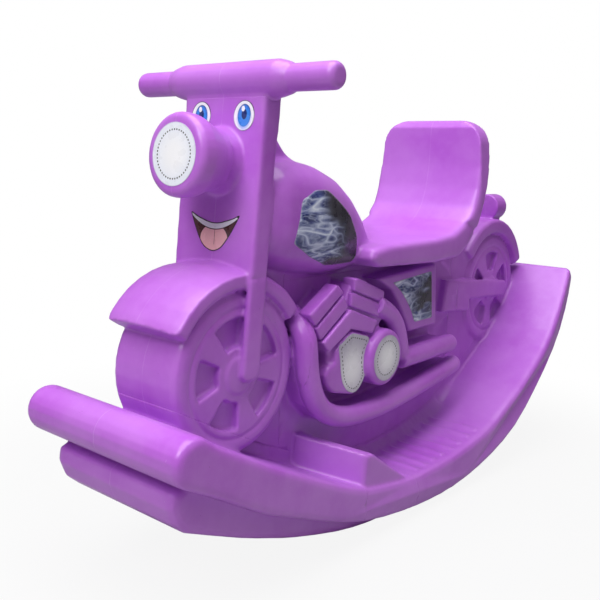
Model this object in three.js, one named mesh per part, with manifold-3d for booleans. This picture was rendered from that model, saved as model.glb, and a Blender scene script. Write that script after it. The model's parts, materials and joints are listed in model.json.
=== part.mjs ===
// A child's rocking motorcycle: one hollow plastic toy, built as its separate shapes.
// Millimetres, +Z up, front towards -Y, the rider's left towards +X, origin under the middle.
import * as THREE from 'three';
import { mergeVertices } from 'three/addons/utils/BufferGeometryUtils.js';
import Module from 'manifold-3d';

const wasm = await Module();
wasm.setup();

// Clearance between neighbouring shapes, and the thickness of a printed label.
const gap = 0.3;
const labelThickness = 0.6;

// Rocker board: side outline as [y, z] pairs, front to rear.
const deckHalfWidth = 132.8;
const deckEdgeRadius = 8;
const rollCentre = [-482, 208];
const rollRadius = 27;
const rollStartAngle = Math.PI * 0.345;
const deckTop = [[-451, 219], [-380, 180], [-300, 140], [-188, 89], [-100, 70], [-37, 63], [53, 67],
  [152, 87], [222, 121], [295, 159], [374, 211], [432, 270], [483, 326]];
const deckBottom = [[509, 311], [500, 287], [472, 249], [424.4, 201.4], [370.6, 157.5], [316.6, 116.5],
  [262, 77.5], [208, 50.5], [155, 31.5], [103, 18.5], [51, 11.5], [0, 11], [-50, 14.4], [-114, 23.5], [-188, 40],
  [-255, 65], [-371, 115], [-420, 144], [-464, 168]];
// The board is this much wider on each side towards the rear, as [y, extra] pairs.
const deckSwell = [[-60, 0], [0, 2.2], [40, 4.2], [90, 8.2], [140, 12.7], [200, 18.2], [250, 21.2], [300, 22.2],
  [350, 21.7], [400, 18.7], [440, 14.2], [475, 7.7], [509, 0]];

// Lower rocking keel.
const keelHalfWidth = 103;
const keelEdgeRadius = 9;
const keelFront = [[-486, 166], [-488, 150], [-480, 130], [-464, 116]];
const keelRunFront = [[-464, 116], [-380, 79], [-325, 58], [-279, 42], [-193, 18], [-121, 5], [-60, 0]];
const keelRunRear = [[60, 0], [103, 4], [155, 16], [208, 36], [262, 63], [316, 100], [370, 142], [412, 178]];

// Foot stops and the tread ribs behind them.
const stopOutline = [[-176, 40], [-170, 128], [-152, 125], [-56, 60], [-56, 40]];
const stopOuterX = 126;
const stopEdgeRadius = 4;
// The stops run forwards and upwards from the board's edge to the body, per millimetre.
const stopForwardSlope = 0.42;
const stopRiseSlope = 0.17;
const stopSwell = 1.014;
const ribCount = 8;
const ribFirstY = -26;
const ribPitch = 24;
const ribWidth = 8;
const ribHeight = 3;
const ribRoot = 8;
const ribInnerX = 48;
const ribForwardSlope = 0.07;
const ribOuterX = 118;

// Wheels: moulded solid, a ring groove and five pockets on each side.
const wheelRadius = 99.5;
const wheelHalfWidth = 55;
const rearWheelRadius = 102;
const rearWheelHalfWidth = 34;
const wheelEdge = 9;
const grooveRadius = 79;
const grooveHalf = 3;
const grooveDepth = 3;
const hubRadius = 24.5;
const hubHeight = 3;
const pocketCount = 5;
const pocketInner = 34;
const pocketOuter = 69;
const pocketDepth = 10;
const pocketHalfAngle = Math.PI * 0.118;
const frontPocketTurn = Math.PI * 0.58;
const rearPocketTurn = Math.PI * 0.5;
const frontWheelCentre = [-343.5, 258];
const rearWheelCentre = [355, 287];

// Fenders are arcs about the wheel centres.
const fenderInner = 101.5;
const frontFenderOuter = 119;
const frontFenderCrown = 9;
const frontFenderHalf = 60.9;
const frontFenderArc = [Math.PI * 0.18, Math.PI * 0.825];
const rearFenderInner = 104;
const rearFenderOuter = 130;
const rearFenderHalf = 40;
const rearFenderArc = [Math.PI * 0.12, Math.PI * 0.8];
const fenderEdge = 6;

// Fork column, blades, headlamp and handlebar.
const barY = -308.8;
const barZ = 598.2;
const columnHalf = 66;
// The column's top front edge lies this far in front of the bar's middle and below it.
const columnTopLead = 12.7;
const columnTopDrop = 8.2;
const columnFront = [[barY - columnTopLead, barZ - columnTopDrop], [-338.6, 372]];
const columnDepth = 29;
const columnEdge = 4;
const bladeInnerX = 58.4;
const bladeTopZ = 371.6;
const bladeEndZ = 250;
const bladeEdge = 3;
const faceTilt = 0.0784;
const lampZ = 510.4;
const lampProfile = [[0, 0], [41, 0], [45, 2], [47.4, 6], [47.4, 20], [44, 30], [38, 46], [36.5, 60], [40, 70.1]];
const barHalf = 159;
const gripRadius = 15;
const sleeveRadius = 21;
const sleeveTopHalf = 76;
const sleeveHalf = 90.8;
const sleeveEndRadius = 17.5;

// Neck and fuel tank.
const neckHalf = 20;
const neckOutline = [[-320, 470], [-320, 566], [-268, 566], [-246, 534], [-230, 518], [-214, 509], [-190, 500],
  [-190, 470]];
const tankStations = [
  [-312, 396, 470, 50], [-302, 386, 497, 66], [-280, 377, 508, 74], [-245, 369, 511, 77],
  [-205, 362, 506, 77], [-170, 359, 494, 75], [-140, 360, 475, 70], [-110, 363, 449, 62],
  [-80, 367, 420, 50], [-50, 370, 396, 34], [-34, 374, 384, 20]];
const tankSquareness = 3;
const tankSides = 28;

// Body core between the wheels.
const coreHalf = 30;
const coreOutline = [[-330, 358], [-300, 386], [-200, 380], [-60, 385], [180, 392], [330, 400], [408, 372],
  [400, 215], [250, 100], [-20, 40], [-230, 70], [-330, 120]];

const skirtFrom = -195;
const skirtTo = 200;
const skirtRoot = 6;
const skirtSteps = [[34, 13], [38, 8.5], [42, 5], [46, 2.5]];

// Engine castings on each side: outlines as [y, z] pairs and their outer x.
const engineX = 74;
const finEdge = 3;
const frontFinUpper = [[-237, 318], [-180, 352], [-165.5, 340], [-223.5, 301.5]];
const frontFinLower = [[-222.5, 299], [-165.5, 336.5], [-154, 317.5], [-211, 281]];
const rearFinUpper = [[-143, 356], [-133, 356], [-67, 331.5], [-67, 313.5], [-143, 339.5]];
const rearFinLower = [[-149, 337], [-141, 336.5], [-77, 314.5], [-77, 294], [-149, 318.5]];
const chevron = [[-210.5, 278.5], [-151, 316], [-86, 292.5], [-96, 274], [-149, 288], [-197, 264]];
const chevronX = 77;
const crankcase = [[-183, 246], [-180, 262], [-163, 278], [-145, 284.4], [-104, 272.5], [-106, 258], [-112, 247],
  [-113, 238], [-109, 226], [-109.5, 214], [-117, 204], [-127, 196.5], [-137, 194], [-149, 197], [-181, 205],
  [-196, 218], [-202, 232], [-196, 243]];
const crankcaseX = 76;
const coverCentre = [-71.5, 236.7];
const coverRadius = 41;
const coverX = 86;
const coverEdge = 6;

// Exhausts and side panels.
const lowPipeLine = [[-235, 286], [-233, 258], [-227, 230], [-211, 198], [-184, 174], [-146, 162], [-100, 158.5],
  [-51, 158.5], [4, 162.5], [60, 169], [118, 177], [168, 184]];
const lowPipeHalf = 14.5;
const lowPipeX = 81;
const lowPipeEdge = 9;
const highPipe = [[-62, 319], [-31, 303], [-12, 285], [0, 260], [3, 238], [137, 240], [150, 233], [153, 223],
  [150, 212], [137, 207], [-22, 205], [-26, 250], [-32, 266], [-47, 282], [-72, 299]];
const highPipeX = 80;
const highPipeEdge = 9;
const panel = [[-66, 347], [99, 357], [111, 256], [30, 256], [5, 293], [-26, 327]];
const panelX = 61;
const panelEdge = 4;

// Seat with its backrest, swing arms and tail lamp.
const panHalf = 95;
const panOutline = [[-132, 382], [-126, 396], [-90, 400], [40, 402], [92, 408], [126, 424], [163, 411.6],
  [142, 386], [112, 369], [40, 366], [-110, 370]];
const panEdge = 9;
const backHalf = 98;
const backOutline = [[126.6, 424.6], [146, 446], [157, 475], [162, 510], [162, 572], [169, 583], [182, 583],
  [191, 572], [195, 529], [191, 497], [181, 452], [163.4, 412.2]];
const backEdge = 7;
const backCornerRadius = 42;
const backTopHalf = 91;
const backWaistZ = 470;
const armOutline = [[168, 321], [398, 300], [407, 285.5], [396, 271], [254, 280], [254, 259], [158, 268]];
const armX = 46;
const armEdge = 3;
const lampTailCentre = [412, 437];
const lampTailRadius = 24;
const lampTailLength = 44;
const lampTailStartY = 386;
const lampTailEdge = 6;
const lampStalk = [[370, 350], [412, 350], [418, 440], [392, 440]];
const lampStalkHalf = 16;

// Label shapes.
const eyeZ = 557;
const eyeX = 35.3;
const eyeHalfWidth = 13;
const eyeHalfHeight = 18.5;
const mouthZ = 443;
const mouthHalf = 40;
const mouthDrop = 44;
const lensLabelRadius = 35.4;
const coverLabelRadius = 33;
const shieldLabel = [[-175, 266], [-160.7, 276], [-144, 281], [-107, 270], [-109, 260], [-115.4, 249],
  [-116.2, 238], [-112.6, 225.4], [-113, 215.6], [-119, 206.8], [-127.4, 199.6], [-136.8, 197.4], [-147, 200],
  [-157, 207], [-164.6, 217.8], [-169, 231.7], [-172, 247.8]];
const panelLabel = [[-28, 338], [84, 346], [94, 270], [40, 270], [18, 302], [-3, 322]];
// Rows of the tank label: height, front edge and rear edge.
const tankLabelRows = [[377, -196, -134], [392, -238, -134], [410, -272, -136], [440, -266, -158],
  [462, -262, -190], [474, -236, -210]];

// Colours.
const purple = '#9a4fc4';
const white = '#e8eaf2';
const darkPrint = '#2b2f45';
const skinPink = '#d98f96';

const curveSegments = 5;
const roundSegments = 40;
const splineSegments = 26;

const group = new THREE.Group();

function addPiece(name, geometry, colour, roughness) {
  const material = new THREE.MeshStandardMaterial({ color: colour, roughness, metalness: 0 });
  const mesh = new THREE.Mesh(geometry, material);
  mesh.name = name;
  group.add(mesh);
}

const moulded = (name, geometry) => addPiece(name, geometry, purple, 0.38);
const printed = (name, geometry, colour) => addPiece(name, geometry, colour, 0.3);

// Closed solids for joining and cutting.
function toSolid(geometry) {
  const bare = geometry.clone();
  bare.deleteAttribute('normal');
  bare.deleteAttribute('uv');
  const merged = mergeVertices(bare, 1e-4);
  return new wasm.Manifold(new wasm.Mesh({
    numProp: 3,
    vertProperties: new Float32Array(merged.attributes.position.array),
    triVerts: new Uint32Array(merged.index.array),
  }));
}

function toGeometry(solid) {
  const mesh = solid.getMesh();
  const geometry = new THREE.BufferGeometry();
  geometry.setAttribute('position', new THREE.BufferAttribute(new Float32Array(mesh.vertProperties), 3));
  geometry.setIndex(new THREE.BufferAttribute(new Uint32Array(mesh.triVerts), 1));
  return geometry;
}

const cut = (geometry, ...tools) => toGeometry(
  tools.reduce((solid, tool) => solid.subtract(toSolid(tool)), toSolid(geometry)));
const join = (geometry, ...others) => toGeometry(
  others.reduce((solid, other) => solid.add(toSolid(other)), toSolid(geometry)));

function mirrored(geometry) {
  const copy = geometry.clone();
  const position = copy.attributes.position;
  for (let i = 0; i < position.count; i += 1) position.setX(i, -position.getX(i));
  if (!copy.index) copy.setIndex([...Array(position.count).keys()]);
  const index = copy.index;
  for (let i = 0; i < index.count; i += 3) {
    const first = index.getX(i);
    index.setX(i, index.getX(i + 2));
    index.setX(i + 2, first);
  }
  return copy;
}

// A side outline pulled along X between two planes, with rounded edges.
const sideways = new THREE.Matrix4().makeBasis(
  new THREE.Vector3(0, 1, 0), new THREE.Vector3(0, 0, 1), new THREE.Vector3(1, 0, 0));

function sideBlock(points, x0, x1, edge = 0, steps = 2) {
  const shape = points instanceof THREE.Shape
    ? points : new THREE.Shape(points.map(([y, z]) => new THREE.Vector2(y, z)));
  const geometry = new THREE.ExtrudeGeometry(shape, {
    depth: x1 - x0 - 2 * edge,
    bevelEnabled: edge > 0,
    bevelThickness: edge,
    bevelSize: edge,
    bevelOffset: -edge,
    bevelSegments: steps,
    curveSegments,
  });
  geometry.translate(0, 0, x0 + edge);
  return geometry.applyMatrix4(sideways);
}

// The part of a sideways block beyond a plane of constant X, so its root is flat.
function rootedBlock(points, rootX, outerX, edge) {
  const block = sideBlock(points, rootX - 2 * edge, outerX, edge, 3);
  const far = 4 * deckHalfWidth;
  const remover = new THREE.BoxGeometry(far, 8 * far, 8 * far);
  remover.translate(rootX - far / 2, 0, 0);
  return cut(block, remover);
}

const smoothLine = (points, count = splineSegments) => new THREE.SplineCurve(
  points.map(([y, z]) => new THREE.Vector2(y, z))).getPoints(count).map((p) => [p.x, p.y]);

function arcLine([cy, cz], radius, start, end, count) {
  return Array.from({ length: count + 1 }, (_, i) => {
    const angle = start + (end - start) * i / count;
    return [cy + radius * Math.cos(angle), cz + radius * Math.sin(angle)];
  });
}

// Moves an open line sideways by a distance, to the right of its direction.
function offsetLine(points, distance) {
  return points.map(([y, z], i) => {
    const before = points[Math.max(0, i - 1)];
    const after = points[Math.min(points.length - 1, i + 1)];
    const length = Math.hypot(after[0] - before[0], after[1] - before[1]);
    return [y + distance * (after[1] - before[1]) / length, z - distance * (after[0] - before[0]) / length];
  });
}

// Rocker board and keel.
const deckTopLine = smoothLine(deckTop);
const deckBottomLine = smoothLine(deckBottom);
const rollLine = arcLine(rollCentre, rollRadius, rollStartAngle, rollStartAngle + Math.PI, 10);

function deckOutline() {
  return [...deckBottomLine, ...[...rollLine].reverse(), ...deckTopLine];
}

const deckCutter = sideBlock([
  ...offsetLine(deckBottomLine, -gap),
  ...arcLine(rollCentre, rollRadius + gap, rollStartAngle + Math.PI, rollStartAngle, 10),
  ...offsetLine(deckTopLine, -gap)], -2 * deckHalfWidth, 2 * deckHalfWidth);

function deckRibs() {
  const ribs = [];
  for (let i = 0; i < ribCount; i += 1) {
    const y = ribFirstY + i * ribPitch;
    const next = deckTopLine.findIndex((point) => point[0] > y);
    const [a, b] = [deckTopLine[next - 1], deckTopLine[next]];
    const slope = Math.atan2(b[1] - a[1], b[0] - a[0]);
    const z = a[1] + (y - a[0]) * Math.tan(slope);
    for (const side of [-1, 1]) {
      const rib = new THREE.BoxGeometry(ribOuterX - ribInnerX, ribWidth, ribHeight + ribRoot);
      rib.translate(0, 0, (ribHeight - ribRoot) / 2);
      rib.rotateX(slope);
      rib.applyMatrix4(new THREE.Matrix4().makeShear(side * ribForwardSlope, 0, 0, 0, 0, 0));
      rib.translate(side * (ribOuterX + ribInnerX) / 2, y, z);
      ribs.push(rib);
    }
  }
  return ribs;
}

// Widens a geometry sideways the way the board widens towards the rear.
function widened(geometry) {
  const place = geometry.attributes.position;
  for (let i = 0; i < place.count; i += 1) {
    const y = Math.min(Math.max(place.getY(i), deckSwell[0][0]), deckSwell.at(-1)[0]);
    const next = Math.max(1, deckSwell.findIndex((point) => point[0] >= y));
    const [a, b] = [deckSwell[next - 1], deckSwell[next]];
    const extra = a[1] + (b[1] - a[1]) * (y - a[0]) / (b[0] - a[0]);
    place.setX(i, place.getX(i) * (1 + extra / deckHalfWidth));
  }
  return geometry;
}

function rockerDeck() {
  return join(widened(sideBlock(deckOutline(), -deckHalfWidth, deckHalfWidth, deckEdgeRadius)),
    ...deckRibs().map(widened));
}

function rockerKeel() {
  const upper = offsetLine(deckBottomLine, keelEdgeRadius).filter(([y]) => y < keelRunRear.at(-1)[0]);
  const outline = [...upper, ...keelFront, ...smoothLine(keelRunFront, 12).slice(1), ...smoothLine(keelRunRear, 10)];
  return cut(sideBlock(outline, -keelHalfWidth, keelHalfWidth, keelEdgeRadius), deckCutter);
}

function footStop() {
  const stop = rootedBlock(stopOutline, coreHalf + gap, stopOuterX, stopEdgeRadius);
  stop.translate(-stopOuterX, 0, 0);
  stop.applyMatrix4(new THREE.Matrix4().makeShear(stopForwardSlope, -stopRiseSlope, 0, 0, 0, 0));
  stop.translate(stopOuterX, 0, 0);
  return cut(stop, deckCutter, wheelCutter(frontWheelCentre));
}

// A slightly larger copy of a solid, about its own middle.
function swollen(geometry, factor) {
  const copy = geometry.clone();
  copy.computeBoundingBox();
  const middle = copy.boundingBox.getCenter(new THREE.Vector3());
  copy.translate(-middle.x, -middle.y, -middle.z);
  copy.scale(factor, factor, factor);
  copy.translate(middle.x, middle.y, middle.z);
  return copy;
}

// Stepped skirt where the body flares into the board: outer x and height of each step.
function coreSkirt() {
  const line = deckTopLine.filter(([y]) => y > skirtFrom && y < skirtTo);
  return skirtSteps.map(([x, height]) => {
    const raised = offsetLine(line, -height);
    const sunk = offsetLine(line, skirtRoot).reverse();
    return sideBlock([...sunk, ...raised], -x, x);
  });
}

// A band of even width along a smooth line.
function bandOutline(points, half, count) {
  const line = smoothLine(points, count);
  return [...offsetLine(line, half), ...offsetLine(line, -half).reverse()];
}

// Wheels turn about the X axis direction and are cut where they sink into the board.
function wheel([cy, cz], turn, half = wheelHalfWidth, radius = wheelRadius) {
  const side = [[0, half + hubHeight], [hubRadius - hubHeight, half + hubHeight], [hubRadius, half],
    [grooveRadius - grooveHalf, half], [grooveRadius, half - grooveDepth], [grooveRadius + grooveHalf, half],
    [radius - wheelEdge, half], [radius - wheelEdge * 0.3, half - wheelEdge * 0.3],
    [radius, half - wheelEdge]];
  const profile = [...side, ...[...side].reverse().map(([r, x]) => [r, -x])];
  const body = new THREE.LatheGeometry(profile.reverse().map(([r, x]) => new THREE.Vector2(r, x)), roundSegments);
  body.rotateZ(-Math.PI / 2);
  body.translate(0, cy, cz);
  const tools = [];
  for (let i = 0; i < pocketCount; i += 1) {
    const middle = turn + i * 2 * Math.PI / pocketCount;
    const sector = [
      ...arcLine([cy, cz], pocketInner, middle - pocketHalfAngle, middle + pocketHalfAngle, 2),
      ...arcLine([cy, cz], pocketOuter, middle + pocketHalfAngle, middle - pocketHalfAngle, 4)];
    tools.push(sideBlock(sector, half - pocketDepth, half + pocketDepth));
    tools.push(sideBlock(sector, -half - pocketDepth, pocketDepth - half));
  }
  return cut(body, deckCutter, ...tools);
}

function wheelCutter([cy, cz], half = 2 * wheelHalfWidth, radius = wheelRadius) {
  const tool = new THREE.CylinderGeometry(radius + 2 * gap, radius + 2 * gap, 2 * (half + gap), roundSegments);
  tool.rotateZ(Math.PI / 2);
  tool.translate(0, cy, cz);
  return tool;
}

// A ring that takes the corners off a fender's outside, so that its middle stands higher than its sides.
function crownTool([cy, cz], side, crown, half, grow) {
  const steps = [-1, -0.8, -0.55, -0.28, 0, 0.28, 0.55, 0.8, 1];
  const inside = steps.map((share) => [side + grow + crown * (1 - share * share), share * (half + 2 * grow)]);
  const far = side + 4 * crown;
  const profile = [...inside, [far, half + 2 * grow], [far, -half - 2 * grow], inside[0]];
  const ring = new THREE.LatheGeometry(profile.reverse().map(([r, x]) => new THREE.Vector2(r, x)), roundSegments);
  ring.rotateZ(-Math.PI / 2);
  ring.translate(0, cy, cz);
  return ring;
}

const ringSector = (centre, inner, outer, [from, to]) => [
  ...arcLine(centre, inner, from, to, 14), ...arcLine(centre, outer, to, from, 14)];

// A wedge from the wheel's centre out past the fender.
function fenderCutter(centre, outer, half, [from, to]) {
  const spare = 3 * gap;
  const wedge = arcLine(centre, outer + spare, from - spare / outer, to + spare / outer, 28);
  return sideBlock([centre, ...wedge], -half - gap, half + gap);
}

// Fork column and blades share one sloping front plane.
const columnRear = columnFront.map(([y, z]) => [y + columnDepth, z]);
const frontAt = (z) => columnFront[0][0]
  + (columnFront[1][0] - columnFront[0][0]) * (columnFront[0][1] - z) / (columnFront[0][1] - columnFront[1][1]);

// The lamp's barrel reaches from its rim to a gap before the column's face.
const lampDepth = lampProfile.at(-1)[1];
const lampCentre = [
  frontAt(lampZ - lampDepth * Math.sin(faceTilt)) - (gap + lampDepth * Math.cos(faceTilt) ** 2) / Math.cos(faceTilt),
  lampZ];

function bladeOutline(grow) {
  const low = bladeEndZ - grow;
  const top = bladeTopZ + grow;
  const corner = columnDepth / 4;
  return [[frontAt(top) - grow, top], [frontAt(low) - grow, low + corner], [frontAt(low) + corner, low],
    [frontAt(low) + columnDepth - corner, low], [frontAt(low) + columnDepth + grow, low + corner],
    [frontAt(top) + columnDepth + grow, top]];
}

function spunAlongX(profile, segments) {
  const geometry = new THREE.LatheGeometry(profile.map(([r, x]) => new THREE.Vector2(r, x)), segments);
  geometry.rotateZ(-Math.PI / 2);
  geometry.translate(0, barY, barZ);
  return geometry;
}

function sleeve(grow) {
  const end = sleeveHalf + grow;
  const profile = [[0, -end], [sleeveEndRadius + grow, -end], [sleeveRadius + grow, -sleeveTopHalf],
    [sleeveRadius + grow, sleeveTopHalf], [sleeveEndRadius + grow, end], [0, end]];
  return spunAlongX(profile, 24);
}

function grip() {
  const start = sleeveHalf + gap;
  const tip = gripRadius * 0.45;
  const profile = [[0, start], [gripRadius, start], [gripRadius, barHalf - tip],
    [gripRadius * 0.9, barHalf - tip * 0.4], [gripRadius * 0.6, barHalf], [0, barHalf]];
  return spunAlongX(profile, 24);
}

// Pieces that lie square to the tilted front face are built facing -Y at the origin first.
function faceForward(geometry, [y, z]) {
  geometry.rotateX(-faceTilt);
  geometry.translate(0, y, z);
  return geometry;
}

function headlamp() {
  const profile = [...lampProfile, [0, lampDepth]].map(([r, y]) => new THREE.Vector2(r, y));
  const geometry = new THREE.LatheGeometry(profile, 32);
  return faceForward(geometry, lampCentre);
}

// Fuel tank: rounded-square sections along Y.
function tankSection(y) {
  const next = Math.max(1, tankStations.findIndex((station) => station[0] >= y));
  const [a, b] = [tankStations[next - 1], tankStations[next]];
  const share = (y - a[0]) / (b[0] - a[0]);
  return a.map((value, i) => value + (b[i] - value) * share);
}

function superPoint(angle, halfWidth, halfHeight) {
  const power = 2 / tankSquareness;
  const c = Math.cos(angle);
  const s = Math.sin(angle);
  return [Math.sign(c) * halfWidth * Math.abs(c) ** power, Math.sign(s) * halfHeight * Math.abs(s) ** power];
}

function tank(grow) {
  const positions = [];
  const index = [];
  const last = tankStations.length - 1;
  tankStations.forEach(([y, low, high, half], station) => {
    const shift = station === 0 ? -grow : (station === last ? grow : 0);
    for (let i = 0; i < tankSides; i += 1) {
      const [x, z] = superPoint(i * 2 * Math.PI / tankSides, half + grow, (high - low) / 2 + grow);
      positions.push(x, y + shift, (high + low) / 2 + z);
    }
  });
  const ring = (station, i) => station * tankSides + i % tankSides;
  for (let station = 0; station < last; station += 1) {
    for (let i = 0; i < tankSides; i += 1) {
      const corners = [ring(station, i), ring(station, i + 1), ring(station + 1, i), ring(station + 1, i + 1)];
      index.push(corners[0], corners[2], corners[1], corners[1], corners[2], corners[3]);
    }
  }
  for (const [station, flip] of [[0, false], [last, true]]) {
    for (let i = 1; i < tankSides - 1; i += 1) {
      const fan = [ring(station, 0), ring(station, i), ring(station, i + 1)];
      index.push(...(flip ? fan.reverse() : fan));
    }
  }
  const geometry = new THREE.BufferGeometry();
  geometry.setAttribute('position', new THREE.Float32BufferAttribute(positions, 3));
  geometry.setIndex(index);
  return geometry;
}

function tankSideX(y, z) {
  const [, low, high, half] = tankSection(y);
  const height = Math.min(0.999, Math.abs(z - (high + low) / 2) / ((high - low) / 2));
  return half * (1 - height ** tankSquareness) ** (1 / tankSquareness);
}

// The tank label follows the side of the tank.
function tankLabel() {
  const columns = 10;
  const positions = [];
  const index = [];
  const rows = tankLabelRows.length;
  for (const lift of [2 * gap, 2 * gap + labelThickness]) {
    for (const [z, front, rear] of tankLabelRows) {
      for (let i = 0; i <= columns; i += 1) {
        const y = front + (rear - front) * i / columns;
        positions.push(tankSideX(y, z) + lift, y, z);
      }
    }
  }
  const at = (layer, row, i) => (layer * rows + row) * (columns + 1) + i;
  const quad = (a, b, c, d) => index.push(a, b, c, a, c, d);
  for (let row = 0; row < rows - 1; row += 1) {
    for (let i = 0; i < columns; i += 1) {
      quad(at(1, row, i), at(1, row, i + 1), at(1, row + 1, i + 1), at(1, row + 1, i));
      quad(at(0, row, i), at(0, row + 1, i), at(0, row + 1, i + 1), at(0, row, i + 1));
    }
    quad(at(0, row, 0), at(1, row, 0), at(1, row + 1, 0), at(0, row + 1, 0));
    quad(at(0, row, columns), at(0, row + 1, columns), at(1, row + 1, columns), at(1, row, columns));
  }
  for (let i = 0; i < columns; i += 1) {
    quad(at(0, 0, i), at(0, 0, i + 1), at(1, 0, i + 1), at(1, 0, i));
    quad(at(0, rows - 1, i), at(1, rows - 1, i), at(1, rows - 1, i + 1), at(0, rows - 1, i + 1));
  }
  const geometry = new THREE.BufferGeometry();
  geometry.setAttribute('position', new THREE.Float32BufferAttribute(positions, 3));
  geometry.setIndex(index);
  return geometry;
}

// Flat labels on the column: drawn in X and height, then laid on the tilted face.
function faceLabel(shape, z) {
  const geometry = new THREE.ExtrudeGeometry(shape, { depth: labelThickness, bevelEnabled: false, curveSegments: 12 });
  geometry.rotateX(Math.PI / 2);
  return faceForward(geometry, [frontAt(z) - gap, z]);
}

function eyeShape(side) {
  const shape = new THREE.Shape();
  shape.absellipse(side * eyeX, 0, eyeHalfWidth, eyeHalfHeight, 0, 2 * Math.PI, false, 0);
  return shape;
}

function mouthShape() {
  const shape = new THREE.Shape();
  shape.moveTo(-mouthHalf, 0);
  shape.quadraticCurveTo(-mouthHalf / 2, -mouthDrop * 1.3, 0, -mouthDrop);
  shape.quadraticCurveTo(mouthHalf / 2, -mouthDrop * 0.8, mouthHalf, 0);
  shape.quadraticCurveTo(0, -mouthDrop / 4, -mouthHalf, 0);
  return shape;
}

function disc([cy, cz], radius, x0, x1, edge = 0) {
  return edge > 0
    ? rootedBlock(arcLine([cy, cz], radius, 0, 2 * Math.PI, 32).slice(1), x0, x1, edge)
    : sideBlock(arcLine([cy, cz], radius, 0, 2 * Math.PI, 32).slice(1), x0, x1);
}

// The seat back is seen from the front: a rounded board cut from its side outline.
function seatBack() {
  const block = sideBlock(backOutline, -backHalf, backHalf, backEdge, 3);
  const top = Math.max(...backOutline.map(([, z]) => z));
  const front = Math.min(...backOutline.map(([y]) => y));
  const r = backCornerRadius;
  const corner = new THREE.Shape();
  corner.moveTo(backHalf + r, top + r);
  corner.lineTo(backTopHalf - r, top + r);
  corner.lineTo(backTopHalf - r, top);
  corner.absarc(backTopHalf - r, top - r, r, Math.PI / 2, 0, true);
  corner.lineTo(backHalf, backWaistZ);
  corner.lineTo(backHalf + r, backWaistZ);
  corner.closePath();
  const tool = new THREE.ExtrudeGeometry(corner, { depth: 4 * r, bevelEnabled: false, curveSegments: 8 });
  tool.rotateX(Math.PI / 2);
  tool.translate(0, front + 3 * r, 0);
  return cut(block, tool, mirrored(tool));
}

function tailLamp() {
  const edge = lampTailEdge;
  const profile = [[0, 0], [lampTailRadius, 0], [lampTailRadius, lampTailLength - edge],
    [lampTailRadius - edge, lampTailLength], [0, lampTailLength]];
  const geometry = new THREE.LatheGeometry(profile.map(([r, y]) => new THREE.Vector2(r, y)), 24);
  geometry.translate(0, lampTailStartY, lampTailCentre[1]);
  const stalk = sideBlock(lampStalk, -lampStalkHalf, lampStalkHalf);
  return join(geometry, stalk);
}

const frontFenderWedge = fenderCutter(frontWheelCentre, frontFenderOuter + frontFenderCrown, frontFenderHalf,
  frontFenderArc);
const frontFenderTool = cut(fenderCutter(frontWheelCentre, frontFenderOuter + 2 * frontFenderCrown,
  frontFenderHalf, frontFenderArc), crownTool(frontWheelCentre, frontFenderOuter, frontFenderCrown, frontFenderHalf,
  3 * gap));
const rearFenderTool = fenderCutter(rearWheelCentre, rearFenderOuter, rearFenderHalf, rearFenderArc);
const rearWheelTool = (half, radius = rearWheelRadius) => wheelCutter(rearWheelCentre, half, radius);
const bladeTool = sideBlock(bladeOutline(gap), bladeInnerX - gap, 2 * columnHalf);
const columnTool = sideBlock([...columnFront.map(([y, z]) => [y - gap, z]),
  ...columnRear.map(([y, z]) => [y + gap, z]).reverse()], -columnHalf - gap, columnHalf + gap);
const tankTool = tank(gap);
const stopTool = swollen(footStop(), stopSwell);
const panOutlineTool = sideBlock(panOutline, -panHalf - gap, panHalf + gap).translate(0, 0, -gap);

moulded('rocker_deck', rockerDeck());
moulded('rocker_keel', rockerKeel());
moulded('front_wheel', wheel(frontWheelCentre, frontPocketTurn));
moulded('rear_wheel', wheel(rearWheelCentre, rearPocketTurn, rearWheelHalfWidth, rearWheelRadius));
moulded('front_fender', cut(
  sideBlock(ringSector(frontWheelCentre, fenderInner, frontFenderOuter + frontFenderCrown, frontFenderArc),
    -frontFenderHalf, frontFenderHalf, fenderEdge),
  crownTool(frontWheelCentre, frontFenderOuter, frontFenderCrown, frontFenderHalf, 0),
  bladeTool, mirrored(bladeTool)));
moulded('rear_fender', sideBlock(ringSector(rearWheelCentre, rearFenderInner, rearFenderOuter, rearFenderArc),
  -rearFenderHalf, rearFenderHalf, fenderEdge));
moulded('fork_column', cut(sideBlock([...columnFront, ...[...columnRear].reverse()],
  -columnHalf, columnHalf, columnEdge), sleeve(gap), frontFenderTool));
moulded('headlamp_barrel', headlamp());
moulded('handlebar_sleeve', sleeve(0));
moulded('fuel_tank', cut(tank(0), columnTool));
moulded('tank_neck', cut(sideBlock(neckOutline, -neckHalf, neckHalf, finEdge), columnTool, tankTool));
moulded('body_core', cut(join(sideBlock(coreOutline, -coreHalf, coreHalf), ...coreSkirt()),
  deckCutter, stopTool, mirrored(stopTool), wheelCutter(frontWheelCentre), rearWheelTool(2 * rearWheelHalfWidth),
  frontFenderWedge, rearFenderTool, tankTool, columnTool, panOutlineTool));
moulded('seat_pan', cut(sideBlock(panOutline, -panHalf, panHalf, panEdge, 3), tankTool));
moulded('seat_back', seatBack());
moulded('tail_lamp', cut(tailLamp(), rearFenderTool));
printed('headlamp_label', faceForward(new THREE.CylinderGeometry(lensLabelRadius, lensLabelRadius,
  labelThickness, 32), [lampCentre[0] - gap - labelThickness / 2, lampCentre[1]]), white);
printed('mouth_label', faceLabel(mouthShape(), mouthZ), skinPink);

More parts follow.
